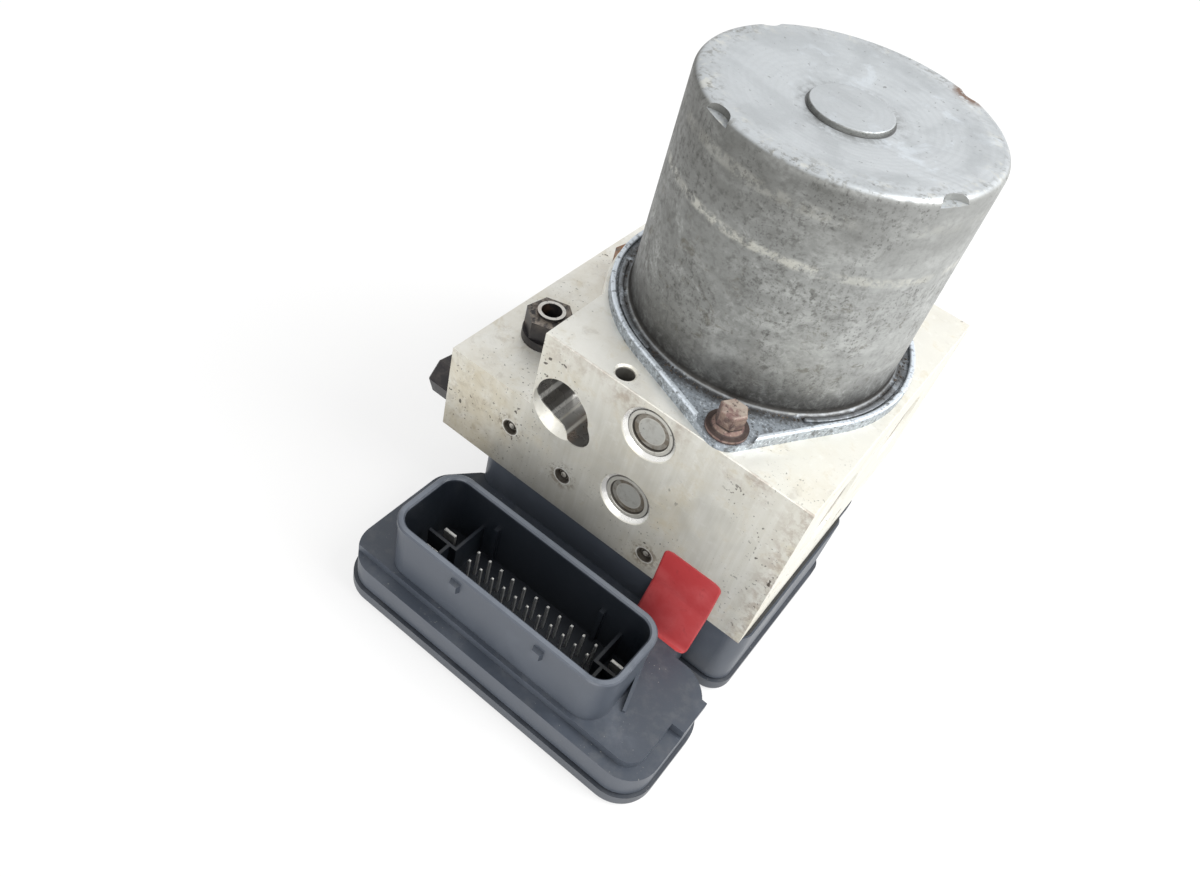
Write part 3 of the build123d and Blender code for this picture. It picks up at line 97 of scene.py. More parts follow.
class ShaderSketch:
    """Lays the nodes of one material, on the piece's own coordinates."""

    def __init__(self, name: str) -> None:
        """Start a material with one principled shader.

        Args:
            name: The material's name.
        """
        self.material = bpy.data.materials.new(name)
        self.material.use_nodes = True
        self.nodes = self.material.node_tree.nodes
        self.links = self.material.node_tree.links
        self.shader = self.nodes["Principled BSDF"]
        self.coordinates = self.nodes.new("ShaderNodeTexCoord").outputs["Object"]

    def close(self, colour: Socket, rough: Socket, metallic: float) -> None:
        """Feed colour and roughness to the shader, and set how metallic it is.

        Args:
            colour: The surface's colour.
            rough: Its roughness.
            metallic: From 0 for plastic to 1 for clean metal.
        """
        self.links.new(colour, self.shader.inputs["Base Color"])
        self.links.new(rough, self.shader.inputs["Roughness"])
        self.shader.inputs["Metallic"].default_value = metallic

    def relief(self, height: Socket, depth: float, strength: float) -> None:
        """Give the surface its bump.

        Args:
            height: Height from 0 to 1.
            depth: What a height of 1 is, in millimetres.
            strength: Strength of the bump.
        """
        node = self.nodes.new("ShaderNodeBump")
        node.inputs["Strength"].default_value = strength
        node.inputs["Distance"].default_value = depth * MM
        self.links.new(height, node.inputs["Height"])
        self.links.new(node.outputs["Normal"], self.shader.inputs["Normal"])

    def clouds(self, kind: Noise) -> Socket:
        """Lay soft noise.

        Args:
            kind: The noise.

        Returns:
            A value around one half.
        """
        mapping = self.nodes.new("ShaderNodeMapping")
        mapping.inputs["Scale"].default_value = kind.stretch
        self.links.new(self.coordinates, mapping.inputs["Vector"])
        node = self.nodes.new("ShaderNodeTexNoise")
        node.inputs["Scale"].default_value = kind.scale
        node.inputs["Detail"].default_value = kind.detail
        node.inputs["Roughness"].default_value = kind.rough
        node.inputs["Distortion"].default_value = kind.bend
        self.links.new(mapping.outputs["Vector"], node.inputs["Vector"])
        return node.outputs["Fac"]

    def cells(self, scale: float) -> Socket:
        """Lay scattered points.

        Args:
            scale: Points per metre.

        Returns:
            The distance to the nearest point.
        """
        node = self.nodes.new("ShaderNodeTexVoronoi")
        node.inputs["Scale"].default_value = scale
        self.links.new(self.coordinates, node.inputs["Vector"])
        return node.outputs["Distance"]

    def bands(self, scale: float, axis: Axis, bend: float = 0.0, rings: bool = False) -> Socket:
        """Lay regular stripes across an axis, or rings about it.

        Args:
            scale: Bands per metre, about.
            axis: The axis.
            bend: Distortion.
            rings: Whether the stripes are rings.

        Returns:
            A value from 0 to 1.
        """
        node = self.nodes.new("ShaderNodeTexWave")
        node.wave_type = "RINGS" if rings else "BANDS"
        node.rings_direction = node.bands_direction = axis.name
        node.inputs["Scale"].default_value = scale
        node.inputs["Distortion"].default_value = bend
        node.inputs["Detail"].default_value = 2.0
        self.links.new(self.coordinates, node.inputs["Vector"])
        return node.outputs["Fac"]

    def part(self, vector: Socket, axis: Axis) -> Socket:
        """Take one component of a vector.

        Args:
            vector: The vector.
            axis: The component's axis.

        Returns:
            The component.
        """
        node = self.nodes.new("ShaderNodeSeparateXYZ")
        self.links.new(vector, node.inputs["Vector"])
        return node.outputs[axis.value]

    def place(self, axis: Axis) -> Socket:
        """Return one coordinate of the point, in metres."""
        return self.part(self.coordinates, axis)

    def facing(self, axis: Axis) -> Socket:
        """Return one component of the surface's own normal."""
        return self.part(self.nodes.new("ShaderNodeNewGeometry").outputs["Normal"], axis)

    def above(self, level: float) -> Socket:
        """Return the point's height above a level given in millimetres, in metres."""
        return self.work("SUBTRACT", self.place(Axis.Z), level * MM)

    def reach(self, centre: Point = (0.0, 0.0, 0.0), along: Axis | None = Axis.Z) -> Socket:
        """Measure the distance from a point, or from a line through it.

        Args:
            centre: The point, in millimetres.
            along: The line's direction, or None for the point itself.

        Returns:
            The distance in metres.
        """
        keep = tuple(0.0 if axis is along else 1.0 for axis in Axis)
        node = self.nodes.new("ShaderNodeMapping")
        node.inputs["Scale"].default_value = keep
        node.inputs["Location"].default_value = tuple(-c * k * MM for c, k in zip(centre, keep))
        self.links.new(self.coordinates, node.inputs["Vector"])
        length = self.nodes.new("ShaderNodeVectorMath")
        length.operation = "LENGTH"
        self.links.new(node.outputs["Vector"], length.inputs[0])
        return length.outputs["Value"]

    def bore(self, across: float, drop: float) -> Socket:
        """Return the distance from a bore's axis along Y, given across and below the block's top."""
        return self.reach((across, 0.0, TOP - drop), Axis.Y)

    def grade(self, socket: Socket, low: float, high: float) -> Socket:
        """Make a smooth step of a value.

        Args:
            socket: The value.
            low: Where the result is 0.
            high: Where the result is 1, which may be below low.

        Returns:
            The stepped value.
        """
        node = self.nodes.new("ShaderNodeMapRange")
        node.interpolation_type = "SMOOTHSTEP"
        node.inputs["From Min"].default_value = min(low, high)
        node.inputs["From Max"].default_value = max(low, high)
        node.inputs["To Min"].default_value = float(low > high)
        node.inputs["To Max"].default_value = float(low <= high)
        self.links.new(socket, node.inputs["Value"])
        return node.outputs["Result"]

    def step(self, socket: Socket, low: float, high: float) -> Socket:
        """Make a smooth step of a length in metres, between limits in millimetres."""
        return self.grade(socket, low * MM, high * MM)

    def across(self, axis: Axis, low: float, high: float) -> Socket:
        """Make a smooth step along an axis, between places in millimetres."""
        return self.step(self.place(axis), low, high)

    def belt(self, socket: Socket, low: float, high: float, soft: float) -> Socket:
        """Pick out a band of a length.

        Args:
            socket: The length, in metres.
            low: Lower limit in millimetres.
            high: Upper limit in millimetres.
            soft: Width of the fade at each limit in millimetres.

        Returns:
            1 inside the band, fading to 0.
        """
        return self.both(self.step(socket, low - soft, low), self.step(socket, high + soft, high))

    def span(self, socket: Socket, low: float, high: float) -> Socket:
        """Spread a value from 0 and 1 to two limits.

        Args:
            socket: The value.
            low: Result at 0.
            high: Result at 1.

        Returns:
            The spread value.
        """
        node = self.nodes.new("ShaderNodeMapRange")
        node.inputs["To Min"].default_value = low
        node.inputs["To Max"].default_value = high
        self.links.new(socket, node.inputs["Value"])
        return node.outputs["Result"]

    def work(self, how: str, one: Socket, two: Socket | float) -> Socket:
        """Combine two values.

        Args:
            how: The operation's name, such as MULTIPLY.
            one: The first value.
            two: The second value, linked or plain.

        Returns:
            The combined value.
        """
        node = self.nodes.new("ShaderNodeMath")
        node.operation = how
        self.links.new(one, node.inputs[0])
        if isinstance(two, float):
            node.inputs[1].default_value = two
        else:
            self.links.new(two, node.inputs[1])
        return node.outputs[0]

    def fold(self, how: str, *values: Socket | float) -> Socket:
        """Combine any number of values, from the first on.

        Args:
            how: The operation's name.
            values: The values, the first of them linked.

        Returns:
            The combined value.
        """
        result = values[0]
        for value in values[1:]:
            result = self.work(how, result, value)
        return result

    def both(self, *values: Socket | float) -> Socket:
        """Multiply values together."""
        return self.fold("MULTIPLY", *values)

    def tint(self, ground: Socket | Colour, colour: Socket | Colour, *amounts: Socket | float) -> Socket:
        """Lay a colour over another.

        Args:
            ground: What lies below.
            colour: What lies above.
            amounts: How much of it shows, as factors.

        Returns:
            The mixed colour.
        """
        node = self.nodes.new("ShaderNodeMix")
        node.data_type = "RGBA"
        self.links.new(self.both(*amounts), node.inputs[0])
        for index, value in ((6, ground), (7, colour)):
            if isinstance(value, tuple):
                node.inputs[index].default_value = (*value, 1.0)
            else:
                self.links.new(value, node.inputs[index])
        return node.outputs[2]

    def wash(
        self,
        ground: Socket | Colour,
        colour: Socket | Colour,
        value: Socket,
        limits: tuple[float, float],
        *amounts: Socket | float,
    ) -> Socket:
        """Lay a colour over another where a value is in its range.

        Args:
            ground: What lies below.
            colour: What lies above.
            value: The value, mostly noise.
            limits: Where the colour starts to show, and where it shows in full.
            amounts: How much of it shows, as further factors.

        Returns:
            The mixed colour.
        """
        return self.tint(ground, colour, self.grade(value, *limits), *amounts)


@dataclass(frozen=True)
class Finish:
    """A surface finish, made into a material once."""

    name: str

    def build(self) -> bpy.types.Material:
        """Make the finish's material, or find it if it is made.

        Returns:
            The material.
        """
        known = bpy.data.materials.get(self.name)
        if known is not None:
            return known
        sketch = ShaderSketch(self.name)
        self.lay(sketch)
        return sketch.material

    def lay(self, sketch: ShaderSketch) -> None:
        """Lay the finish's nodes on a sketch."""
        raise NotImplementedError


@dataclass(frozen=True)
class StainedAluminium(Finish):
    """Milled aluminium with yellow-brown stains, grime, dark pits and bright machined mouths, painted light
    on its upper faces, painted reflections in the pocket and painted shade in hollows.
    """

    metal: Colour = (0.690, 0.675, 0.605)
    bright: Colour = (0.850, 0.845, 0.800)
    warm: Colour = (0.560, 0.480, 0.320)
    grime: Colour = (0.200, 0.145, 0.085)
    pit_and_shade: Colour = (0.045, 0.034, 0.025)
    turned_and_glint: Colour = (0.880, 0.875, 0.850)
    shade: Colour = (0.075, 0.070, 0.066)
    brown: Colour = (0.330, 0.250, 0.190)
    bored: Colour = (0.150, 0.146, 0.140)
    streaks: Noise = Noise(620.0, 3.0, 0.6, 0.0, (1.0, 1.0, 0.06))
    broad: Noise = Noise(30.0, 5.0, 0.6, 0.5)
    drift: Noise = Noise(150.0, 6.0, 0.68, 0.3)
    cloth: Noise = Noise(420.0, 4.0, 0.65)
    oil_and_shade: Noise = Noise(260.0, 4.0, 0.6, 0.4)
    scuffs: Noise = Noise(700.0, 4.0, 0.7)
    crumbs: Noise = Noise(330.0, 6.0, 0.72, 0.3)
    spills: Noise = Noise(90.0, 5.0, 0.65, 0.3)
    smuts: Noise = Noise(210.0, 6.0, 0.7, 0.5)
    runs: Noise = Noise(240.0, 6.0, 0.72, 0.6)
    fields: Noise = Noise(38.0, 3.0)
    pepper: Noise = Noise(1300.0, 2.0, 0.5)
    pitting: Noise = Noise(520.0, 2.0, 0.5)
    mouth_inner: float = 6.6
    mouth_outer: float = 7.5
    gallery_radius: float = 2.1
    stake_depth: float = 5.0
    pocket_middle: tuple[float, float] = (-22.9, 20.4)
    pocket_bores: tuple[Point, ...] = ((-24.9, 18.6, 7.6), (-21.9, 21.1, 6.1), (-18.9, 23.6, 4.6))
    pocket_depth: float = 12.0
    pocket_slant: tuple[float, float] = (0.642, -0.767)
    dowel: Point = (-12.2, -45.0246, 0.0)
    dowel_reach: float = 2.8

    def lay(self, sketch: ShaderSketch) -> None:
        """Lay milling marks, stains, grime, pits and machined mouths, with painted light, painted reflections
        and painted shade.

        Args:
            sketch: The material.
        """
        streaks = sketch.clouds(self.streaks)
        drift = sketch.clouds(self.drift)
        up = sketch.grade(sketch.facing(Axis.Z), 0.6, 0.95)
        colour = sketch.wash(self.metal, self.bright, streaks, (0.36, 0.70), 0.36)
        # Painted light: faces that face up are lightened, and toned back down towards the right.
        colour = sketch.tint(colour, self.bright, up, 0.70)
        colour = sketch.tint(colour, self.metal, up, sketch.across(Axis.X, 2.0, 40.0), 0.55)
        colour = sketch.wash(colour, self.warm, sketch.clouds(self.broad), (0.46, 0.74), 0.36)
        colour = sketch.wash(colour, self.warm, drift, (0.52, 0.74), 0.42)
        colour = sketch.wash(colour, self.bright, sketch.clouds(self.cloth), (0.54, 0.74), 0.40)
        colour = self.soil(sketch, colour, up)
        inside = sketch.across(Axis.Y, FRONT + 0.1, FRONT + 0.4)
        turned_and_glint = self.find_pocket(sketch, inside)
        # The bored pocket takes its painted reflections and painted shade here.
        colour = sketch.tint(colour, self.lay_pocket(sketch), turned_and_glint, 0.92)
        for drop in PLUG_DROPS:
            ring = sketch.belt(sketch.bore(0.0, drop), self.mouth_inner, self.mouth_outer, 0.15)
            chamfer = sketch.both(inside, ring)
            colour = sketch.tint(colour, self.turned_and_glint, chamfer, 0.90)
            turned_and_glint = sketch.work("MAXIMUM", turned_and_glint, chamfer)
        dull = sketch.span(sketch.grade(drift, 0.3, 0.75), 0.36, 0.56)
        rough = sketch.work("SUBTRACT", dull, sketch.both(turned_and_glint, 0.20))
        sketch.close(self.stake(sketch, colour), rough, 0.50)
        sketch.relief(streaks, 0.03, 0.35)

    def find_pocket(self, sketch: ShaderSketch, inside: Socket) -> Socket:
        """Pick out the pocket bored in the front face.

        Args:
            sketch: The material.
            inside: 1 behind the front face.

        Returns:
            1 in the pocket.
        """
        end = FRONT + self.pocket_depth
        shallow = sketch.across(Axis.Y, end + 0.6, end + 0.2)
        bores = (
            sketch.step(sketch.bore(across, drop), radius + 0.25, radius + 0.10)
            for across, drop, radius in self.pocket_bores
        )
        return sketch.both(inside, shallow, sketch.fold("MAXIMUM", *bores))

    def lay_pocket(self, sketch: ShaderSketch) -> Socket:
        """Colour the bored pocket with painted reflections and painted shade: dark, crossed by bright and
        dark bands, with a brown patch low down.

        Args:
            sketch: The material.

        Returns:
            The colour.
        """
        along_x, along_z = self.pocket_slant
        middle_x, drop = self.pocket_middle
        middle = along_x * middle_x + along_z * (TOP - drop)
        slant = sketch.both(sketch.place(Axis.X), along_x)
        slant = sketch.work("ADD", slant, sketch.both(sketch.place(Axis.Z), along_z))
        left = sketch.across(Axis.X, middle_x + 4.0, middle_x - 5.0)
        right = sketch.across(Axis.X, middle_x - 1.0, middle_x + 2.0)
        oil_and_shade = sketch.clouds(self.oil_and_shade)
        # Painted shade: the pocket is darkened, and the bands below are painted reflections.
        colour = sketch.wash(self.bored, self.shade, oil_and_shade, (0.40, 0.72), 0.60)
        for low, high, light, amount in (
            (-5.0, -4.1, self.turned_and_glint, 0.75),
            (-3.2, -1.4, self.shade, 0.85),
            (0.6, 1.0, self.turned_and_glint, 0.90),
            (1.6, 8.5, self.turned_and_glint, 0.55),
        ):
            band = sketch.belt(slant, middle + low, middle + high, 0.5)
            colour = sketch.tint(colour, light, band, left, amount)
        foot = sketch.belt(slant, middle + 2.5, middle + 7.5, 1.5)
        return sketch.wash(colour, self.brown, oil_and_shade, (0.35, 0.60), foot, right, 0.70)

    def stake(self, sketch: ShaderSketch, colour: Socket) -> Socket:
        """Lay a dark bruised ring round each staked ball, with painted shade in the hole about it.

        Args:
            sketch: The material.
            colour: The colour without them.

        Returns:
            The colour with them.
        """
        scuffs = sketch.clouds(self.scuffs)
        end = FRONT + self.stake_depth
        shallow = sketch.across(Axis.Y, end + 0.4, end)
        edge = self.gallery_radius
        for across, drop in GALLERIES:
            line = sketch.bore(across, drop)
            bruise = sketch.belt(line, 0.0, edge + 1.0, 2.4)
            hole = sketch.belt(line, 0.0, edge + 0.15, 0.2)
            burr = sketch.belt(line, edge + 0.4, edge + 0.55, 0.15)
            colour = sketch.wash(colour, self.grime, scuffs, (0.46, 0.60), shallow, bruise, 0.60)
            # Painted shade in the hole round the sunk ball.
            colour = sketch.tint(colour, self.pit_and_shade, shallow, hole, 0.88)
            colour = sketch.tint(colour, self.turned_and_glint, shallow, burr, 0.60)
        return colour

    def soil(self, sketch: ShaderSketch, colour: Socket, up: Socket) -> Socket:
        """Lay grime under the top edge, at the right and on the shelf, and pits, with painted shade low on
        the front and inside the dowel hole.

        Args:
            sketch: The material.
            colour: The clean colour.
            up: How much the surface faces up.

        Returns:
            The soiled colour.
        """
        crumbs = sketch.clouds(self.crumbs)
        spills = sketch.grade(sketch.clouds(self.spills), 0.40, 0.62)
        front = sketch.across(Axis.Y, FRONT + 0.6, FRONT + 0.2)
        brow = sketch.across(Axis.Z, TOP - 11.0, TOP - 2.0)
        colour = sketch.wash(colour, self.brown, crumbs, (0.34, 0.62), front, brow, spills, 0.62)
        right = sketch.across(Axis.X, RIGHT - 9.0, RIGHT)
        colour = sketch.wash(colour, self.brown, crumbs, (0.42, 0.62), front, right, 0.55)
        colour = sketch.wash(colour, self.grime, sketch.clouds(self.smuts), (0.57, 0.73), up, 0.22)
        left = sketch.both(sketch.across(Axis.X, -30.0, -50.0), sketch.span(up, 1.0, 0.35))
        colour = sketch.tint(colour, self.warm, left, spills, 0.42)
        colour = sketch.wash(colour, self.grime, sketch.clouds(self.runs), (0.46, 0.66), left, 0.28)
        # Painted shade: the front darkens towards its foot, over the middle and left.
        low = sketch.across(Axis.Z, FOOT + 20.0, FOOT)
        nook = sketch.across(Axis.X, 16.0, -14.0)
        colour = sketch.tint(colour, self.shade, front, low, nook, 0.42)
        # Painted shade inside the dowel hole.
        hole = sketch.step(sketch.reach(self.dowel), self.dowel_reach + 0.2, self.dowel_reach)
        colour = sketch.tint(colour, self.shade, hole, sketch.across(Axis.Z, TOP - 0.6, TOP - 1.2), 0.85)
        fields = sketch.grade(sketch.clouds(self.fields), 0.42, 0.62)
        colour = sketch.wash(colour, self.pit_and_shade, sketch.clouds(self.pepper), (0.67, 0.71), fields, 0.75)
        return sketch.wash(colour, self.pit_and_shade, sketch.clouds(self.pitting), (0.69, 0.72), fields, 0.85)


@dataclass(frozen=True)
class MottledZinc(Finish):
    """Dull zinc on drawn steel: mottled wall, smooth lid and grainy flange, with salt, speckle, sooty dirt,
    and painted light and shade.
    """

    wall: Colour = (0.275, 0.282, 0.272)
    patch: Colour = (0.430, 0.440, 0.425)
    sheen: Colour = (0.520, 0.530, 0.520)
    shade: Colour = (0.110, 0.110, 0.102)
    lid: Colour = (0.525, 0.552, 0.570)
    haze_and_shade: Colour = (0.375, 0.397, 0.410)
    flange: Colour = (0.340, 0.378, 0.418)
    lip: Colour = (0.720, 0.780, 0.840)
    salt: Colour = (0.640, 0.630, 0.560)
    soot_and_shade: Colour = (0.040, 0.037, 0.034)
    scab: Colour = (0.115, 0.105, 0.080)
    rust: Colour = (0.150, 0.070, 0.032)
    sway: Noise = Noise(24.0, 2.0)
    fine: Noise = Noise(620.0, 5.0, 0.66, 0.2)
    mottle: Noise = Noise(95.0, 7.0, 0.70, 0.35, (1.0, 1.0, 1.9))
    drips: Noise = Noise(330.0, 4.0, 0.62, 0.0, (1.0, 1.0, 0.22))
    wall_crumbs: Noise = Noise(340.0, 6.0, 0.75, 0.4)
    wall_fields: Noise = Noise(58.0, 3.0)
    breaks: Noise = Noise(70.0, 3.0)
    blooms: Noise = Noise(95.0, 6.0, 0.72, 0.6)
    pepper: Noise = Noise(1250.0, 3.0, 0.6)
    scabs: Noise = Noise(230.0, 6.0, 0.75, 0.6, (1.0, 1.0, 1.5))
    lid_haze: Noise = Noise(48.0, 5.0, 0.6, 0.3)
    lid_crumbs: Noise = Noise(260.0, 6.0, 0.72, 0.3)
    brushing: Noise = Noise(800.0, 2.0, 0.5, 0.0, (0.07, 1.0, 1.0))
    smears: Noise = Noise(130.0, 5.0, 0.65, 0.5)
    pitting: Noise = Noise(640.0, 5.0, 0.70)
    lid_fields: Noise = Noise(66.0, 3.0)
    specks: Noise = Noise(820.0, 2.0)
    flange_dirt: Noise = Noise(230.0, 6.0, 0.72, 0.3)
    grains: Noise = Noise(1500.0, 3.0, 0.6)
    salt_sway: float = 1.6
    salt_lines: tuple[Point, ...] = ((41.8, 0.50, 0.60), (55.0, 0.80, 0.20))
    salt_reach: tuple[float, float] = (-16.0, 15.0)
    lathe_rings: float = 190.0
    boss_radius: float = 10.0
    dish_radius: float = 29.0
    rim_radius: float = 36.0
    flange_height: float = 3.6
    lip_height: float = 2.6
    rust_notch: Point = (16.4, 32.2, 62.0)
    rust_reach: float = 6.8

    def lay(self, sketch: ShaderSketch) -> None:
        """Lay wall, lid and flange, and the roughness of each.

        Args:
            sketch: The material.
        """
        fine = sketch.clouds(self.fine)
        radius = sketch.reach()
        up = sketch.grade(sketch.facing(Axis.Z), 0.55, 0.92)
        colour = sketch.tint(self.lay_wall(sketch, fine), self.lay_lid(sketch, radius), up)
        across, deep, high = self.rust_notch
        notch = sketch.reach((across, deep, TOP + high), None)
        rust = sketch.step(notch, self.rust_reach, 0.5 * self.rust_reach)
        colour = sketch.wash(colour, self.rust, fine, (0.34, 0.52), rust, 0.9)
        level = TOP + self.flange_height
        low = sketch.across(Axis.Z, level + 0.6, level)
        outside = sketch.step(radius, self.rim_radius + 0.2, self.rim_radius + 0.9)
        colour = sketch.tint(colour, self.lay_flange(sketch, radius, fine), low, outside)
        rough = sketch.span(sketch.grade(fine, 0.3, 0.7), 0.42, 0.62)
        sketch.close(colour, sketch.work("SUBTRACT", rough, sketch.both(up, 0.07)), 0.55)
        sketch.relief(fine, 0.07, 0.30)

    def lay_wall(self, sketch: ShaderSketch, fine: Socket) -> Socket:
        """Colour the wall: mottled, with painted shade to the left and painted light to the right, dark at
        the foot with painted shade along the flange, and two lines of salt.

        Args:
            sketch: The material.
            fine: Fine noise.

        Returns:
            The colour.
        """
        sway = sketch.span(sketch.clouds(self.sway), -self.salt_sway * MM, self.salt_sway * MM)
        height = sketch.work("ADD", sketch.above(TOP), sway)
        mottle = sketch.clouds(self.mottle)
        crumbs = sketch.clouds(self.wall_crumbs)
        fields = sketch.grade(sketch.clouds(self.wall_fields), 0.42, 0.58)
        colour = sketch.wash(self.wall, self.patch, mottle, (0.46, 0.66), 0.85)
        colour = sketch.wash(colour, self.shade, fine, (0.47, 0.68), sketch.span(fields, 0.40, 0.86))
        colour = sketch.wash(colour, self.shade, mottle, (0.46, 0.30), 0.55)
        colour = sketch.wash(colour, self.shade, sketch.clouds(self.drips), (0.54, 0.76), 0.26)
        upper = sketch.step(height, 43.0, 52.0)
        colour = sketch.tint(colour, self.shade, upper, sketch.span(mottle, 0.75, 0.15))
        # Painted shade: the wall darkens towards the left.
        colour = sketch.tint(colour, self.shade, sketch.across(Axis.X, 28.0, -30.0), 0.58)
        # Painted light: the wall lightens towards the right.
        colour = sketch.tint(colour, self.sheen, sketch.across(Axis.X, 10.0, 34.0), 0.34)
        colour = self.lay_salt(sketch, colour, height, crumbs)
        belly = sketch.belt(height, 12.0, 34.0, 8.0)
        blooms = sketch.grade(sketch.clouds(self.blooms), 0.52, 0.66)
        colour = sketch.wash(colour, self.patch, crumbs, (0.36, 0.56), belly, blooms, 0.70)
        colour = sketch.wash(colour, self.soot_and_shade, sketch.clouds(self.pepper), (0.56, 0.66), fields, 0.50)
        colour = sketch.wash(colour, self.scab, sketch.clouds(self.scabs), (0.56, 0.66), belly, 0.60)
        colour = sketch.tint(colour, self.shade, sketch.step(height, 27.0, 5.0), 0.26)
        foot = sketch.step(height, 17.0, 2.0)
        colour = sketch.wash(colour, self.soot_and_shade, crumbs, (0.30, 0.56), foot, 0.82)
        # Painted shade along the foot of the wall, where it meets the flange.
        seam = sketch.across(Axis.Z, TOP + 4.2, TOP + 3.2)
        return sketch.wash(colour, self.soot_and_shade, fine, (0.24, 0.44), seam, 0.80)

    def lay_salt(self, sketch: ShaderSketch, colour: Socket, height: Socket, crumbs: Socket) -> Socket:
        """Lay the lines that salt water has left, plain at the front and broken elsewhere.

        Args:
            sketch: The material.
            colour: The colour without them.
            height: Swaying height above the block's top, in metres.
            crumbs: Coarse noise.

        Returns:
            The colour with them.
        """
        broken = sketch.both(sketch.grade(sketch.clouds(self.breaks), 0.41, 0.60), 0.70)
        front = sketch.across(Axis.Y, -4.0, -16.0)
        splashed = sketch.both(front, sketch.belt(sketch.place(Axis.X), *self.salt_reach, 7.0), 0.90)
        shown = sketch.work("MAXIMUM", broken, splashed)
        for level, width, amount in self.salt_lines:
            line = sketch.belt(height, level - width, level + width, 1.1)
            colour = sketch.wash(colour, self.salt, crumbs, (0.42, 0.56), line, shown, amount)
        return colour

    def lay_lid(self, sketch: ShaderSketch, radius: Socket) -> Socket:
        """Colour the dished end, with painted shade on its left, round the foot of the boss and where the
        dish bends.

        Args:
            sketch: The material.
            radius: Distance from the motor's axis, in metres.

        Returns:
            The colour.
        """
        haze_and_shade = sketch.clouds(self.lid_haze)
        crumbs = sketch.clouds(self.lid_crumbs)
        rings = sketch.bands(self.lathe_rings, Axis.Z, 0.8, True)
        boss, dish, rim = self.boss_radius, self.dish_radius, self.rim_radius
        colour = sketch.wash(self.lid, self.haze_and_shade, haze_and_shade, (0.45, 0.63), 0.66)
        colour = sketch.wash(colour, self.haze_and_shade, sketch.clouds(self.brushing), (0.50, 0.72), 0.28)
        colour = sketch.wash(colour, self.haze_and_shade, rings, (0.35, 0.90), 0.14)
        colour = sketch.wash(colour, self.lip, sketch.clouds(self.smears), (0.56, 0.70), 0.38)
        # Painted shade: the lid darkens towards the left.
        colour = sketch.tint(colour, self.haze_and_shade, sketch.across(Axis.X, 20.0, -22.0), 0.42)
        colour = sketch.tint(colour, self.haze_and_shade, sketch.step(radius, boss + 0.2, boss - 0.2), 0.34)
        # Painted shade in a thin ring round the foot of the boss.
        colour = sketch.tint(colour, self.soot_and_shade, sketch.belt(radius, boss + 0.05, boss + 0.45, 0.12), 0.80)
        near = sketch.step(radius, boss + 5.0, boss + 0.6)
        stain = sketch.both(near, sketch.step(radius, boss + 0.2, boss + 0.4))
        colour = sketch.wash(colour, self.shade, crumbs, (0.44, 0.64), stain, 0.50)
        # Painted shade in a band where the dish bends.
        bend = sketch.belt(radius, dish - 2.0, dish + 0.6, 2.0)
        colour = sketch.wash(colour, self.haze_and_shade, haze_and_shade, (0.36, 0.60), bend, 0.60)
        border = sketch.step(radius, rim - 8.0, rim - 1.0)
        colour = sketch.wash(colour, self.salt, crumbs, (0.52, 0.64), border, 0.50)
        colour = sketch.wash(colour, self.scab, crumbs, (0.45, 0.34), border, 0.48)
        pitting = sketch.clouds(self.pitting)
        gathered = sketch.grade(sketch.clouds(self.lid_fields), 0.42, 0.58)
        colour = sketch.wash(colour, self.scab, pitting, (0.50, 0.62), border, gathered, 0.62)
        return sketch.wash(colour, self.shade, sketch.clouds(self.specks), (0.69, 0.73), 0.55)

    def lay_flange(self, sketch: ShaderSketch, radius: Socket, fine: Socket) -> Socket:
        """Colour the flange, with a painted highlight along its lip.

        Args:
            sketch: The material.
            radius: Distance from the motor's axis, in metres.
            fine: Fine noise.

        Returns:
            The colour.
        """
        dirt = sketch.clouds(self.flange_dirt)
        grains = sketch.clouds(self.grains)
        rim = self.rim_radius
        inner = sketch.step(radius, rim + 5.5, rim + 1.5)
        colour = sketch.wash(self.flange, self.shade, fine, (0.48, 0.68), 0.70)
        colour = sketch.wash(colour, self.lip, grains, (0.55, 0.66), 0.65)
        colour = sketch.wash(colour, self.soot_and_shade, dirt, (0.28, 0.50), inner, 0.88)
        colour = sketch.wash(colour, self.soot_and_shade, dirt, (0.54, 0.68), 0.60)
        colour = sketch.wash(colour, self.soot_and_shade, grains, (0.42, 0.32), 0.70)
        # Painted highlight along the crest of the lip.
        level = TOP + self.lip_height
        crest = sketch.across(Axis.Z, level, level + 0.4)
        outer = sketch.step(radius, rim + 1.8, rim + 2.4)
        return sketch.wash(colour, self.lip, fine, (0.70, 0.48), crest, outer, 0.90)


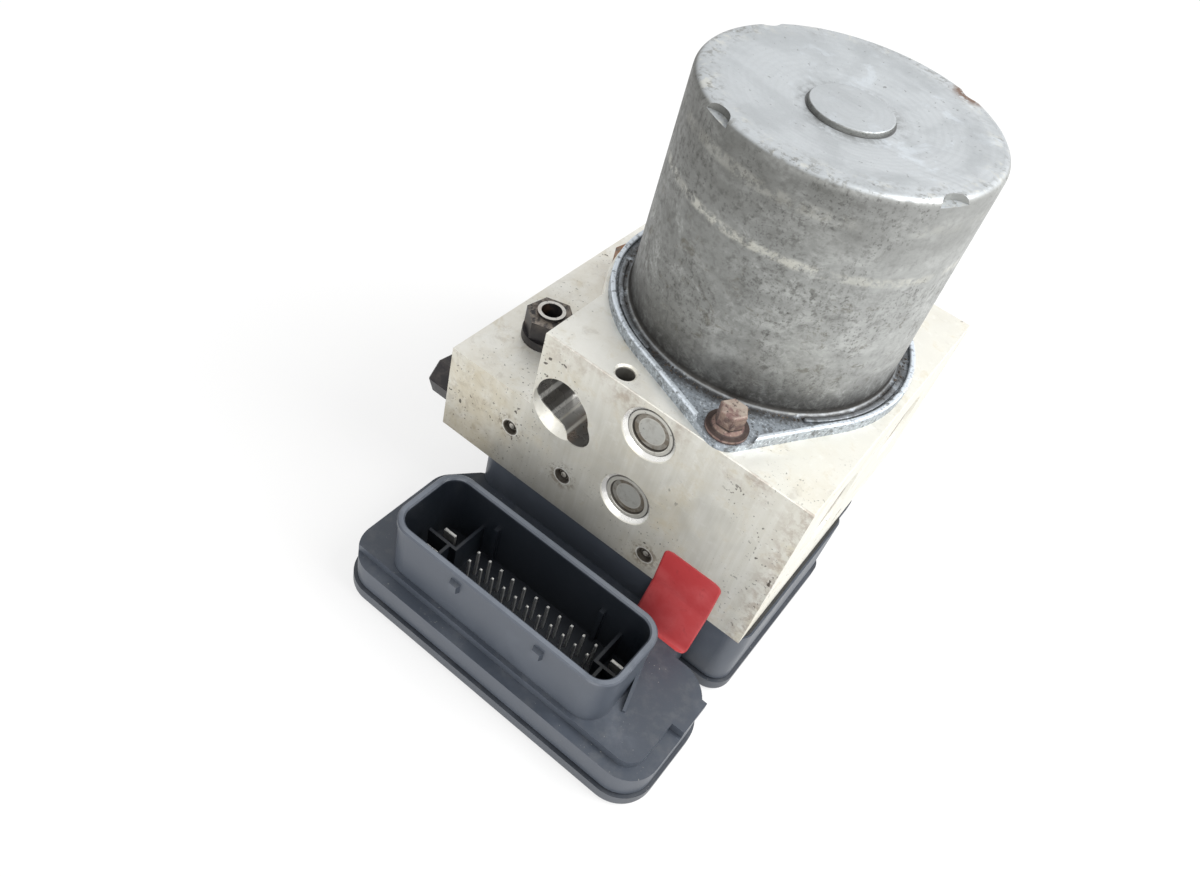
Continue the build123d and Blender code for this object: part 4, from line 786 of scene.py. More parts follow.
@dataclass(frozen=True)
class RustedSteel(Finish):
    """Flanged screw under purple-brown rust, with a paler head top, darker head sides and dark joints between
    its tiers.
    """

    steel: Colour = (0.400, 0.345, 0.295)
    rust: Colour = (0.225, 0.158, 0.124)
    flake: Colour = (0.370, 0.285, 0.235)
    stain: Colour = (0.175, 0.104, 0.094)
    black: Colour = (0.036, 0.026, 0.024)
    coat: Noise = Noise(300.0, 6.0, 0.70, 0.4)
    flakes: Noise = Noise(760.0, 5.0, 0.65, 0.6)
    pitting: Noise = Noise(950.0, 3.0)
    joints: tuple[float, ...] = (2.1, 3.15, 4.45)
    head: float = 8.2

    def lay(self, sketch: ShaderSketch) -> None:
        """Lay rust by tier, flakes, dark joints and black pits.

        Args:
            sketch: The material.
        """
        coat = sketch.clouds(self.coat)
        flakes = sketch.clouds(self.flakes)
        height = sketch.above(TOP)
        colour = sketch.wash(self.rust, self.stain, coat, (0.40, 0.60))
        colour = sketch.wash(colour, self.flake, flakes, (0.50, 0.64), 0.65)
        crown = sketch.step(height, self.head, self.head + 0.4)
        colour = sketch.wash(colour, self.steel, coat, (0.66, 0.42), crown, 0.85)
        sides = sketch.belt(height, self.joints[-1] + 0.3, self.head - 0.6, 0.4)
        colour = sketch.wash(colour, self.black, coat, (0.34, 0.58), sides, 0.55)
        for joint in self.joints:
            shadow = sketch.belt(height, joint - 0.12, joint + 0.12, 0.25)
            colour = sketch.tint(colour, self.black, shadow, 0.85)
        colour = sketch.wash(colour, self.black, sketch.clouds(self.pitting), (0.57, 0.69), 0.75)
        sketch.close(colour, sketch.span(coat, 0.40, 0.80), 0.25)
        sketch.relief(flakes, 0.10, 0.45)


@dataclass(frozen=True)
class OiledNut(Finish):
    """Dark oily tube nut with a bright end ring, and one of the pair gone to rust."""

    oiled: Colour = (0.022, 0.020, 0.022)
    film: Colour = (0.070, 0.060, 0.055)
    worn: Colour = (0.660, 0.645, 0.610)
    shoulder: Colour = (0.250, 0.215, 0.180)
    rust: Colour = (0.270, 0.130, 0.060)
    films: Noise = Noise(240.0, 5.0, 0.6, 0.3)
    rubs: Noise = Noise(520.0, 5.0, 0.65, 0.3)
    coat: Noise = Noise(330.0, 6.0, 0.68, 0.4)
    spots: Noise = Noise(150.0, 4.0)
    ring_drop: float = 15.0
    shoulder_drop: float = 16.6

    def lay(self, sketch: ShaderSketch) -> None:
        """Lay oil film, bright end ring and rust that grows to the rear.

        Args:
            sketch: The material.
        """
        films = sketch.clouds(self.films)
        rubs = sketch.clouds(self.rubs)
        up = sketch.grade(sketch.facing(Axis.Z), 0.45, 0.80)
        depth = sketch.above(TOP)
        colour = sketch.wash(self.oiled, self.film, films, (0.46, 0.74))
        high = sketch.step(depth, -self.shoulder_drop, 0.4 - self.shoulder_drop)
        colour = sketch.wash(colour, self.shoulder, rubs, (0.38, 0.58), up, high, 0.80)
        ring = sketch.step(depth, -self.ring_drop - 0.35, -self.ring_drop - 0.1)
        colour = sketch.wash(colour, self.worn, rubs, (0.24, 0.44), ring, up)
        rear = sketch.across(Axis.Y, -10.0, 4.0)
        colour = sketch.wash(colour, self.rust, sketch.clouds(self.coat), (0.32, 0.54), rear)
        colour = sketch.wash(colour, self.rust, sketch.clouds(self.spots), (0.58, 0.72), 0.22)
        sketch.close(colour, sketch.span(films, 0.26, 0.62), 0.45)
        sketch.relief(rubs, 0.12, 0.4)


@dataclass(frozen=True)
class DishedPlug(Finish):
    """Pressed end plug: pale rim, dark sloping dish and a dull flat middle, with painted shade in its gaps.
    """

    face: Colour = (0.560, 0.560, 0.525)
    rim: Colour = (0.640, 0.625, 0.570)
    slope: Colour = (0.190, 0.155, 0.115)
    gap: Colour = (0.040, 0.034, 0.028)
    film: Noise = Noise(260.0, 5.0, 0.65, 0.4)
    fine: Noise = Noise(900.0, 4.0, 0.6)
    face_radius: float = 3.9
    slope_radius: float = 5.1
    rim_radius: float = 6.1

    def lay(self, sketch: ShaderSketch) -> None:
        """Lay the rings from the middle outwards, smeared with oil.

        Args:
            sketch: The material.
        """
        line = sketch.fold("MINIMUM", *(sketch.bore(0.0, drop) for drop in PLUG_DROPS))
        film = sketch.clouds(self.film)
        fine = sketch.clouds(self.fine)
        face, slope, rim = self.face_radius, self.slope_radius, self.rim_radius
        colour = sketch.wash(self.face, self.slope, film, (0.48, 0.76), 0.45)
        dish = sketch.belt(line, face, slope, 0.25)
        colour = sketch.wash(colour, self.slope, film, (0.74, 0.42), dish, 0.90)
        colour = sketch.tint(colour, self.rim, sketch.belt(line, slope + 0.2, rim, 0.2))
        colour = sketch.tint(colour, self.rim, sketch.belt(line, face - 0.3, face - 0.15, 0.12), 0.70)
        # Painted shade in the gap at the edge of the dish and round the plug.
        colour = sketch.tint(colour, self.gap, sketch.belt(line, slope - 0.05, slope + 0.15, 0.12), 0.85)
        colour = sketch.tint(colour, self.gap, sketch.step(line, rim + 0.1, rim + 0.35), 0.90)
        colour = sketch.wash(colour, self.gap, fine, (0.62, 0.70), 0.45)
        sketch.close(colour, sketch.span(film, 0.26, 0.50), 0.60)
        sketch.relief(fine, 0.03, 0.3)


@dataclass(frozen=True)
class StakedBall(Finish):
    """Pressed-in ball: a pale crown and a paler ring, in painted shade where it sinks into its hole, with
    oily smears.
    """

    crown: Colour = (0.520, 0.500, 0.450)
    ring: Colour = (0.400, 0.380, 0.330)
    oil_and_shade: Colour = (0.030, 0.026, 0.022)
    smear: Noise = Noise(600.0, 4.0, 0.65, 0.3)

    def lay(self, sketch: ShaderSketch) -> None:
        """Lay crown and rings about each gallery.

        Args:
            sketch: The material.
        """
        line = sketch.fold("MINIMUM", *(sketch.bore(*gallery) for gallery in GALLERIES))
        smear = sketch.clouds(self.smear)
        # Painted shade: outside its crown the ball is dark, where it sinks into its hole.
        colour = sketch.tint(self.oil_and_shade, self.crown, sketch.step(line, 0.95, 0.75))
        colour = sketch.tint(colour, self.ring, sketch.belt(line, 1.25, 1.5, 0.12), 0.85)
        colour = sketch.wash(colour, self.oil_and_shade, smear, (0.50, 0.68), 0.60)
        sketch.close(colour, sketch.span(smear, 0.25, 0.50), 0.60)
        sketch.relief(smear, 0.04, 0.3)


@dataclass(frozen=True)
class MouldedPlastic(Finish):
    """Slate-black moulded plastic with spark texture, fine dust and scuffs, a painted sheen on front faces
    and painted shade inside the socket.
    """

    colour: Colour = (0.049, 0.059, 0.077)
    scuff_and_sheen: Colour = (0.126, 0.142, 0.170)
    worn: Colour = (0.180, 0.200, 0.235)
    socket_shade: Colour = (0.010, 0.013, 0.018)
    dust: Colour = (0.400, 0.385, 0.350)
    grain: Noise = Noise(2800.0, 2.0, 0.5)
    bloom: Noise = Noise(44.0, 5.0, 0.6, 0.4)
    scratches: Noise = Noise(260.0, 4.0, 0.7, 1.2, (0.25, 1.0, 1.0))
    specks: Noise = Noise(1700.0, 1.0)
    fields: Noise = Noise(60.0, 2.0)
    film: Noise = Noise(210.0, 6.0, 0.7)
    socket_low: tuple[float, float] = (-41.9, -86.4246)
    socket_high: tuple[float, float] = (25.9, -64.6246)
    socket_corner: float = 4.9
    socket_top: float = 33.0

    def lay(self, sketch: ShaderSketch) -> None:
        """Lay moulded grain, a bloom, scuffs, a painted sheen on front faces, painted shade in the socket, a
        worn socket rim and specks.

        Args:
            sketch: The material.
        """
        bloom = sketch.clouds(self.bloom)
        up = sketch.grade(sketch.facing(Axis.Z), 0.6, 0.95)
        fields = sketch.grade(sketch.clouds(self.fields), 0.45, 0.62)
        colour = sketch.wash(self.colour, self.scuff_and_sheen, bloom, (0.46, 0.78), 0.45)
        colour = sketch.wash(colour, self.scuff_and_sheen, sketch.clouds(self.scratches), (0.66, 0.74), 0.45)
        # Painted sheen: faces turned to the front are lightened.
        colour = sketch.wash(colour, self.scuff_and_sheen, sketch.facing(Axis.Y), (-0.5, -0.9), 0.26)
        specks = sketch.clouds(self.specks)
        colour = sketch.wash(colour, self.dust, specks, (0.74, 0.77), fields, sketch.span(up, 0.12, 0.6))
        colour = sketch.wash(colour, self.dust, sketch.clouds(self.film), (0.46, 0.72), up, 0.07)
        # Painted shade inside the connector socket.
        inner = sketch.across(Axis.Z, self.socket_top - 0.3, self.socket_top - 1.2)
        colour = sketch.tint(colour, self.socket_shade, inner, self.find_socket(sketch))
        brim = sketch.across(Axis.Z, self.socket_top - 0.6, self.socket_top - 0.2)
        colour = sketch.wash(colour, self.worn, bloom, (0.24, 0.50), up, brim, 0.60)
        sketch.close(colour, sketch.span(sketch.grade(bloom, 0.3, 0.7), 0.32, 0.50), 0.0)
        sketch.relief(sketch.clouds(self.grain), 0.03, 0.35)

    def find_socket(self, sketch: ShaderSketch) -> Socket:
        """Pick out the room inside the connector shroud, with its round corners.

        Args:
            sketch: The material.

        Returns:
            1 inside, 0 outside.
        """
        squares = []
        for axis, low, high in zip(Axis, self.socket_low, self.socket_high):
            offset = sketch.work("SUBTRACT", sketch.place(axis), (low + high) / 2 * MM)
            core = ((high - low) / 2 - self.socket_corner) * MM
            beyond = sketch.work("SUBTRACT", sketch.work("ABSOLUTE", offset, 0.0), core)
            beyond = sketch.work("MAXIMUM", beyond, 0.0)
            squares.append(sketch.both(beyond, beyond))
        reach = sketch.work("SQRT", sketch.work("ADD", *squares), 0.0)
        return sketch.step(reach, self.socket_corner + 0.6, self.socket_corner + 0.3)


@dataclass(frozen=True)
class PlainMetal(Finish):
    """Turned, drawn or ground metal with tool rings and light tarnish."""

    colour: Colour
    tarnish: Colour
    rough: float
    metallic: float
    ring_scale: float
    ring_axis: Axis = Axis.Z
    cloud: Noise = Noise(140.0, 5.0, 0.6, 0.3)
    specks: Noise = Noise(720.0, 2.0)

    def lay(self, sketch: ShaderSketch) -> None:
        """Lay tool rings and tarnish.

        Args:
            sketch: The material.
        """
        cloud = sketch.clouds(self.cloud)
        colour = sketch.wash(self.colour, self.tarnish, cloud, (0.46, 0.74), 0.6)
        colour = sketch.wash(colour, self.tarnish, sketch.clouds(self.specks), (0.64, 0.72), 0.7)
        sketch.close(colour, sketch.span(cloud, self.rough * 0.7, self.rough * 1.4), self.metallic)
        sketch.relief(sketch.bands(self.ring_scale, self.ring_axis, 1.2), 0.03, 0.4)


@dataclass(frozen=True)
class SpeckledSolid(Finish):
    """Pressed, sintered or moulded stuff with a fine grain of two tones."""

    colour: Colour
    grain: Colour
    rough: float
    metallic: float
    scale: float
    slower: float = 0.08

    def lay(self, sketch: ShaderSketch) -> None:
        """Lay grain and slow variation.

        Args:
            sketch: The material.
        """
        grain = sketch.clouds(Noise(self.scale, 3.0, 0.6))
        cloud = sketch.clouds(Noise(self.scale * self.slower, 4.0, 0.6, 0.3))
        colour = sketch.wash(self.colour, self.grain, grain, (0.50, 0.70))
        colour = sketch.wash(colour, self.grain, cloud, (0.5, 0.75), 0.4)
        sketch.close(colour, sketch.span(grain, self.rough * 0.8, min(1.0, self.rough * 1.3)), self.metallic)
        sketch.relief(grain, 0.05, 0.4)


@dataclass(frozen=True)
class StrandedCopper(Finish):
    """Enamelled copper wire laid side by side."""

    copper: Colour = (0.52, 0.22, 0.09)
    shade: Colour = (0.20, 0.07, 0.03)
    strand_scale: float = 330.0
    cloud: Noise = Noise(160.0, 4.0)

    def lay(self, sketch: ShaderSketch) -> None:
        """Lay strands and enamel gloss.

        Args:
            sketch: The material.
        """
        strands = sketch.bands(self.strand_scale, Axis.X, 2.2)
        cloud = sketch.clouds(self.cloud)
        colour = sketch.wash(self.shade, self.copper, strands, (0.15, 0.7))
        colour = sketch.wash(colour, self.shade, cloud, (0.5, 0.75), 0.5)
        sketch.close(colour, sketch.span(cloud, 0.22, 0.42), 0.75)
        sketch.relief(strands, 0.2, 0.7)


@dataclass(frozen=True)
class LacqueredBoard(Finish):
    """Green circuit board with copper tracks under the lacquer."""

    lacquer: Colour = (0.010, 0.085, 0.040)
    track: Colour = (0.022, 0.15, 0.070)
    long_tracks: float = 130.0
    cross_tracks: float = 90.0
    fields: float = 55.0
    gloss: Noise = Noise(300.0)

    def lay(self, sketch: ShaderSketch) -> None:
        """Lay tracks and lacquer.

        Args:
            sketch: The material.
        """
        along = sketch.grade(sketch.bands(self.long_tracks, Axis.X), 0.62, 0.70)
        across = sketch.grade(sketch.bands(self.cross_tracks, Axis.Y), 0.62, 0.70)
        fields = sketch.grade(sketch.cells(self.fields), 0.45, 0.50)
        tracks = sketch.work("MAXIMUM", sketch.both(along, fields), across)
        rough = sketch.span(sketch.clouds(self.gloss), 0.18, 0.34)
        sketch.close(sketch.tint(self.lacquer, self.track, tracks), rough, 0.0)
        sketch.relief(tracks, 0.04, 0.6)


@dataclass(frozen=True)
class RedSticker(Finish):
    """Bare red sticker, faded and rubbed."""

    red: Colour = (0.480, 0.048, 0.052)
    faded: Colour = (0.540, 0.086, 0.090)
    rubbed: Colour = (0.330, 0.036, 0.040)
    fade: Noise = Noise(110.0, 4.0, 0.6)
    rub: Noise = Noise(420.0, 5.0, 0.65, 0.5)

    def lay(self, sketch: ShaderSketch) -> None:
        """Lay fading, rubbed patches and a crinkle.

        Args:
            sketch: The material.
        """
        fade = sketch.clouds(self.fade)
        rub = sketch.clouds(self.rub)
        colour = sketch.wash(self.red, self.faded, fade, (0.40, 0.72))
        colour = sketch.wash(colour, self.rubbed, rub, (0.56, 0.74), 0.5)
        sketch.close(colour, sketch.span(rub, 0.34, 0.56), 0.0)
        sketch.relief(fade, 0.2, 0.3)


BLOCK_FINISH = StainedAluminium("stained_aluminium")
CAN_FINISH = MottledZinc("mottled_zinc")
RUST_FINISH = RustedSteel("rusted_steel")
NUT_FINISH = OiledNut("oiled_nut")
PLASTIC_FINISH = MouldedPlastic("slate_black_plastic")
COVER_FINISH = MouldedPlastic("cover_plastic", colour=(0.040, 0.046, 0.057))
# The contacts are near white and barely metallic: a painted highlight in place of their glints.
CONTACT_FINISH = PlainMetal("tinned_contact", (0.98, 0.98, 0.97), (0.86, 0.85, 0.83), 0.22, 0.15, 900.0)
PLUG_FINISH = DishedPlug("dished_plug")
CAP_FINISH = PlainMetal("store_cap", (0.50, 0.48, 0.44), (0.30, 0.25, 0.19), 0.40, 0.85, 520.0, Axis.X)
STEEL_FINISH = PlainMetal("turned_steel", (0.50, 0.50, 0.51), (0.30, 0.29, 0.27), 0.34, 0.95, 520.0)
BEARING_FINISH = PlainMetal("ground_steel", (0.62, 0.63, 0.64), (0.42, 0.41, 0.39), 0.16, 1.0, 900.0)
SPRING_FINISH = PlainMetal("spring_wire", (0.34, 0.34, 0.35), (0.18, 0.17, 0.16), 0.36, 0.9, 300.0)
COIL_FINISH = PlainMetal("coil_case", (0.20, 0.205, 0.21), (0.12, 0.115, 0.11), 0.42, 0.6, 260.0)
BRONZE_FINISH = SpeckledSolid("sintered_bronze", (0.40, 0.25, 0.12), (0.55, 0.38, 0.19), 0.48, 0.85, 1300.0)
BRASS_FINISH = PlainMetal("brass_contact", (0.62, 0.45, 0.20), (0.36, 0.24, 0.11), 0.30, 0.95, 600.0)
FERRITE_FINISH = SpeckledSolid("ferrite", (0.060, 0.060, 0.065), (0.12, 0.12, 0.125), 0.70, 0.1, 1100.0)
SHEET_FINISH = PlainMetal("stacked_sheet", (0.28, 0.28, 0.29), (0.14, 0.13, 0.13), 0.42, 0.9, 640.0)
CARBON_FINISH = SpeckledSolid("pressed_carbon", (0.022, 0.022, 0.023), (0.07, 0.07, 0.07), 0.55, 0.1, 1500.0)
INNER_PLASTIC = SpeckledSolid("inner_plastic", (0.045, 0.045, 0.048), (0.08, 0.08, 0.085), 0.50, 0.0, 1600.0)
RUBBER_FINISH = SpeckledSolid("soft_rubber", (0.018, 0.018, 0.018), (0.045, 0.045, 0.045), 0.75, 0.0, 1900.0)
CHIP_FINISH = SpeckledSolid("chip_package", (0.020, 0.020, 0.021), (0.05, 0.05, 0.052), 0.60, 0.0, 2200.0)
BALL_FINISH = StakedBall("staked_ball")
BOARD_FINISH = LacqueredBoard("lacquered_board")
COPPER_FINISH = StrandedCopper("enamelled_copper")
COMMUTATOR_FINISH = PlainMetal("commutator_copper", (0.58, 0.30, 0.15), (0.22, 0.11, 0.06), 0.30, 0.95, 420.0)
STICKER_FINISH = RedSticker("red_sticker")
GRIT_FINISH = SpeckledSolid("road_grit", (0.035, 0.030, 0.026), (0.16, 0.12, 0.085), 0.92, 0.0, 1500.0)
THREAD_FINISH = PlainMetal("cut_thread", (0.60, 0.585, 0.54), (0.34, 0.30, 0.24), 0.34, 0.8, 900.0)

NODE_FINISHES: dict[Finish, tuple[str, ...]] = {
    BLOCK_FINISH: ("hydraulic_block",),
    CAN_FINISH: ("motor_can",),
    RUST_FINISH: ("motor_screws",),
    NUT_FINISH: ("shelf_tube_nuts", "side_tube_nut"),
    PLASTIC_FINISH: ("ecu_housing",),
    COVER_FINISH: ("ecu_cover",),
    CONTACT_FINISH: ("signal_pins", "power_blades"),
    PLUG_FINISH: ("pump_plug_front", "pump_plug_rear", "damper_plug_front", "damper_plug_rear"),
    CAP_FINISH: ("store_caps", "store_piston_front", "store_piston_rear"),
    STEEL_FINISH: (
        "motor_shield",
        "rotor_shaft",
        "ecu_screws",
        "pump_sleeve_front",
        "pump_sleeve_rear",
        "pump_piston_front",
        "pump_piston_rear",
        "inlet_valve_bodies",
        "outlet_valve_bodies",
        *(f"{kind}_plunger_{n}" for kind in ("inlet", "outlet") for n in range(1, 5)),
    ),
    BEARING_FINISH: (
        "bearing_outer",
        "bearing_inner",
        "bearing_balls",
        "eccentric_needles",
        "eccentric_race",
    ),
    SPRING_FINISH: ("pump_spring_front", "pump_spring_rear", "store_spring_front", "store_spring_rear"),
    COIL_FINISH: ("valve_coils",),
    BRONZE_FINISH: ("upper_bushing", "pilot_bushing"),
    BRASS_FINISH: ("motor_lead_pins",),
    FERRITE_FINISH: ("motor_magnets",),
    SHEET_FINISH: ("armature_core",),
    CARBON_FINISH: ("motor_brushes",),
    INNER_PLASTIC: ("brush_holder", "motor_lead"),
    RUBBER_FINISH: ("ecu_seal", "damper_insert_front", "damper_insert_rear"),
    CHIP_FINISH: ("board_components",),
    BALL_FINISH: ("ball_plugs",),
    BOARD_FINISH: ("circuit_board",),
    COPPER_FINISH: ("armature_windings",),
    COMMUTATOR_FINISH: ("commutator",),
}


class NodeSketch:
    """Builds one Geometry Nodes tree with named inputs."""

    def __init__(self, name: str) -> None:
        """Start a tree with a geometry input and output.

        Args:
            name: The tree's name.
        """
        self.tree = bpy.data.node_groups.new(name, "GeometryNodeTree")
        self.tree.interface.new_socket(name="Geometry", in_out="INPUT", socket_type="NodeSocketGeometry")
        self.tree.interface.new_socket(name="Geometry", in_out="OUTPUT", socket_type="NodeSocketGeometry")
        self.inlet = self.tree.nodes.new("NodeGroupInput")
        self.outlet = self.tree.nodes.new("NodeGroupOutput")

    def ask(self, name: str, kind: str) -> Socket:
        """Add a named input.

        Args:
            name: The input's name.
            kind: The socket's kind, such as Float.

        Returns:
            The input's socket inside the tree.
        """
        self.tree.interface.new_socket(name=name, in_out="INPUT", socket_type=f"NodeSocket{kind}")
        return self.inlet.outputs[name]

    def node(self, kind: str, **links: object) -> bpy.types.Node:
        """Add a node and fill its inputs.

        Args:
            kind: The node's type.
            links: Input names, with _ for a space, and a socket or a value for each.

        Returns:
            The node.
        """
        made = self.tree.nodes.new(kind)
        for name, value in links.items():
            socket = made.inputs[name.replace("_", " ")]
            if isinstance(value, Socket):
                self.tree.links.new(value, socket)
            else:
                socket.default_value = value
        return made

    def close(self, geometry: Socket, material: Socket) -> bpy.types.NodeTree:
        """Realize, set the material and end the tree.

        Args:
            geometry: What the tree makes.
            material: The material's input.

        Returns:
            The tree.
        """
        real = self.node("GeometryNodeRealizeInstances", Geometry=geometry)
        dressed = self.node("GeometryNodeSetMaterial", Geometry=real.outputs[0], Material=material)
        self.tree.links.new(dressed.outputs[0], self.outlet.inputs[0])
        return self.tree


def bring_in(name: str, data: bpy.types.ID) -> bpy.types.Object:
    """Make an object of a mesh, a lamp or a camera, and link it into the scene.

    Args:
        name: The object's name.
        data: What it shows.

    Returns:
        The object.
    """
    made = bpy.data.objects.new(name, data)
    bpy.context.scene.collection.objects.link(made)
    return made


def grow(
    name: str,
    points: Sequence[Point],
    tree: bpy.types.NodeTree,
    values: dict[str, object],
) -> bpy.types.Object:
    """Run a tree on a set of points and keep its result as a plain mesh.

    Args:
        name: The piece's name.
        points: Where the tree starts.
        tree: The tree.
        values: Its inputs by name.

    Returns:
        The finished piece.
    """
    mesh = bpy.data.meshes.new(name)
    mesh.from_pydata(list(points), [], [])
    piece = bring_in(name, mesh)
    modifier = piece.modifiers.new(tree.name, "NODES")
    modifier.node_group = tree
    for item in tree.interface.items_tree:
        if item.in_out == "INPUT" and item.name in values:
            modifier[item.identifier] = values[item.name]
    graph = bpy.context.evaluated_depsgraph_get()
    solid = bpy.data.meshes.new_from_object(piece.evaluated_get(graph), depsgraph=graph)
    piece.modifiers.clear()
    piece.data = solid
    solid.name = name
    return piece


def settle(piece: bpy.types.Object, body: str = BODY) -> None:
    """Fix a piece to a body of the frame.

    Args:
        piece: The piece.
        body: The body it moves with.
    """
    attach(piece, body)


def winding_tree() -> bpy.types.NodeTree:
    """Build the tree that winds a ridge or a wire at each point.

    Returns:
        The tree.
    """
    sketch = NodeSketch("winding")
    radius = sketch.ask("Radius", "Float")
    turns = sketch.ask("Turns", "Float")
    length = sketch.ask("Length", "Float")
    ridge = sketch.ask("Ridge", "Float")
    sides = sketch.ask("Sides", "Int")
    turn = sketch.ask("Turn", "Vector")
    material = sketch.ask("Material", "Material")
    spiral = sketch.node(
        "GeometryNodeCurveSpiral",
        Resolution=TURN_STEPS,
        Rotations=turns,
        Start_Radius=radius,
        End_Radius=radius,
        Height=length,
    )
    section = sketch.node("GeometryNodeCurvePrimitiveCircle", Resolution=sides, Radius=ridge)
    tube = sketch.node(
        "GeometryNodeCurveToMesh",
        Curve=spiral.outputs[0],
        Profile_Curve=section.outputs[0],
        Fill_Caps=True,
    )
    places = sketch.node("GeometryNodeMeshToPoints", Mesh=sketch.inlet.outputs["Geometry"])
    copies = sketch.node(
        "GeometryNodeInstanceOnPoints",
        Points=places.outputs[0],
        Instance=tube.outputs[0],
        Rotation=turn,
    )
    return sketch.close(copies.outputs[0], material)


@dataclass
class Ports:
    """Threads cut in the block's open ports."""

    wheel_rows: tuple[float, ...] = (-14.0082, 12.0082, 38.0246)
    wheel_drop: float = 46.0
    wheel_radius: float = 5.0
    wheel_length: float = 9.0
    bracket_reach: float = 28.0
    bracket_drop: float = 20.0
    side_drop: float = 44.0
    bracket_radius: float = 2.5
    bracket_length: float = 11.0
    pitch: float = 1.0
    ridge: float = 0.28
    sides: int = 4
    inset: float = 0.6

    def build(self, tree: bpy.types.NodeTree) -> list[bpy.types.Object]:
        """Wind the threads.

        Args:
            tree: The winding tree.

        Returns:
            One piece for each direction the ports face.
        """
        left = BLOCK_LOW[0] + self.inset * MM
        rear = BLOCK_HIGH[1] - self.inset * MM
        right = BLOCK_HIGH[0] - self.inset * MM
        wheel = [(left, row * MM, BLOCK_TOP - self.wheel_drop * MM) for row in self.wheel_rows]
        rise = BLOCK_TOP - self.bracket_drop * MM
        bracket = [(way * self.bracket_reach * MM, rear, rise) for way in (-1, 1)]
        side = [(right, 0.0, BLOCK_TOP - self.side_drop * MM)]
        made = []
        for name, points, radius, length, turn in (
            ("wheel_port_threads", wheel, self.wheel_radius, self.wheel_length, (0.0, pi / 2, 0.0)),
            ("bracket_threads", bracket, self.bracket_radius, self.bracket_length, (pi / 2, 0.0, 0.0)),
            ("side_bracket_thread", side, self.bracket_radius, self.bracket_length, (0.0, -pi / 2, 0.0)),
        ):
            values = {
                "Radius": radius * MM,
                "Turns": length / self.pitch,
                "Length": length * MM,
                "Ridge": self.ridge * MM,
                "Sides": self.sides,
                "Turn": turn,
                "Material": THREAD_FINISH.build(),
            }
            piece = grow(name, points, tree, values)
            settle(piece)
            made.append(piece)
        return made


@dataclass(frozen=True)
class SpringPlace:
    """One return spring: its node, the stroke that presses it and the way to its fixed end."""

    node: str
    joint: str
    axis: Axis
    way: float
    wire: float
    stroke: float
    turn: Point


@dataclass
class ReturnSprings:
    """Coil springs behind the pump and store pistons."""

    turns: float = 3.0
    sides: int = 10
    places: tuple[SpringPlace, ...] = (
        SpringPlace("pump_spring_front", "pump_stroke_front", Axis.Y, -1.0, 0.35, 1.6, (pi / 2, 0.0, 0.0)),
        SpringPlace("pump_spring_rear", "pump_stroke_rear", Axis.Y, 1.0, 0.35, 1.6, (-pi / 2, 0.0, 0.0)),
        SpringPlace("store_spring_front", "store_stroke_front", Axis.X, 1.0, 0.6, 5.5, (0.0, pi / 2, 0.0)),
        SpringPlace("store_spring_rear", "store_stroke_rear", Axis.X, 1.0, 0.6, 5.5, (0.0, pi / 2, 0.0)),
    )

    def build(self, tree: bpy.types.NodeTree) -> list[bpy.types.Object]:
        """Wind the springs.

        Args:
            tree: The winding tree.

        Returns:
            The springs.
        """
        return [self.wind(place, tree) for place in self.places]

    def wind(self, place: SpringPlace, tree: bpy.types.NodeTree) -> bpy.types.Object:
        """Wind one spring where its node stands.

        Args:
            place: The spring.
            tree: The winding tree.

        Returns:
            The piece.
        """
        low, high = (Vector(corner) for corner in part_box(place.node))
        index = place.axis.value
        wire = place.wire * MM
        length = high[index] - low[index]
        width = max(high[axis.value] - low[axis.value] for axis in Axis if axis is not place.axis)
        free = (low + high) / 2
        fixed = free.copy()
        free[index] -= place.way * (length / 2 - wire)
        fixed[index] += place.way * length / 2
        values = {
            "Radius": width / 2 - wire,
            "Turns": self.turns,
            "Length": length - 2 * wire,
            "Ridge": wire,
            "Sides": self.sides,
            "Turn": place.turn,
            "Material": SPRING_FINISH.build(),
        }
        piece = grow(f"{place.node}_coil", [tuple(free)], tree, values)
        for face in piece.data.polygons:
            face.use_smooth = True
        settle(piece)
        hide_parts(place.node)
        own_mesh(piece)
        return piece


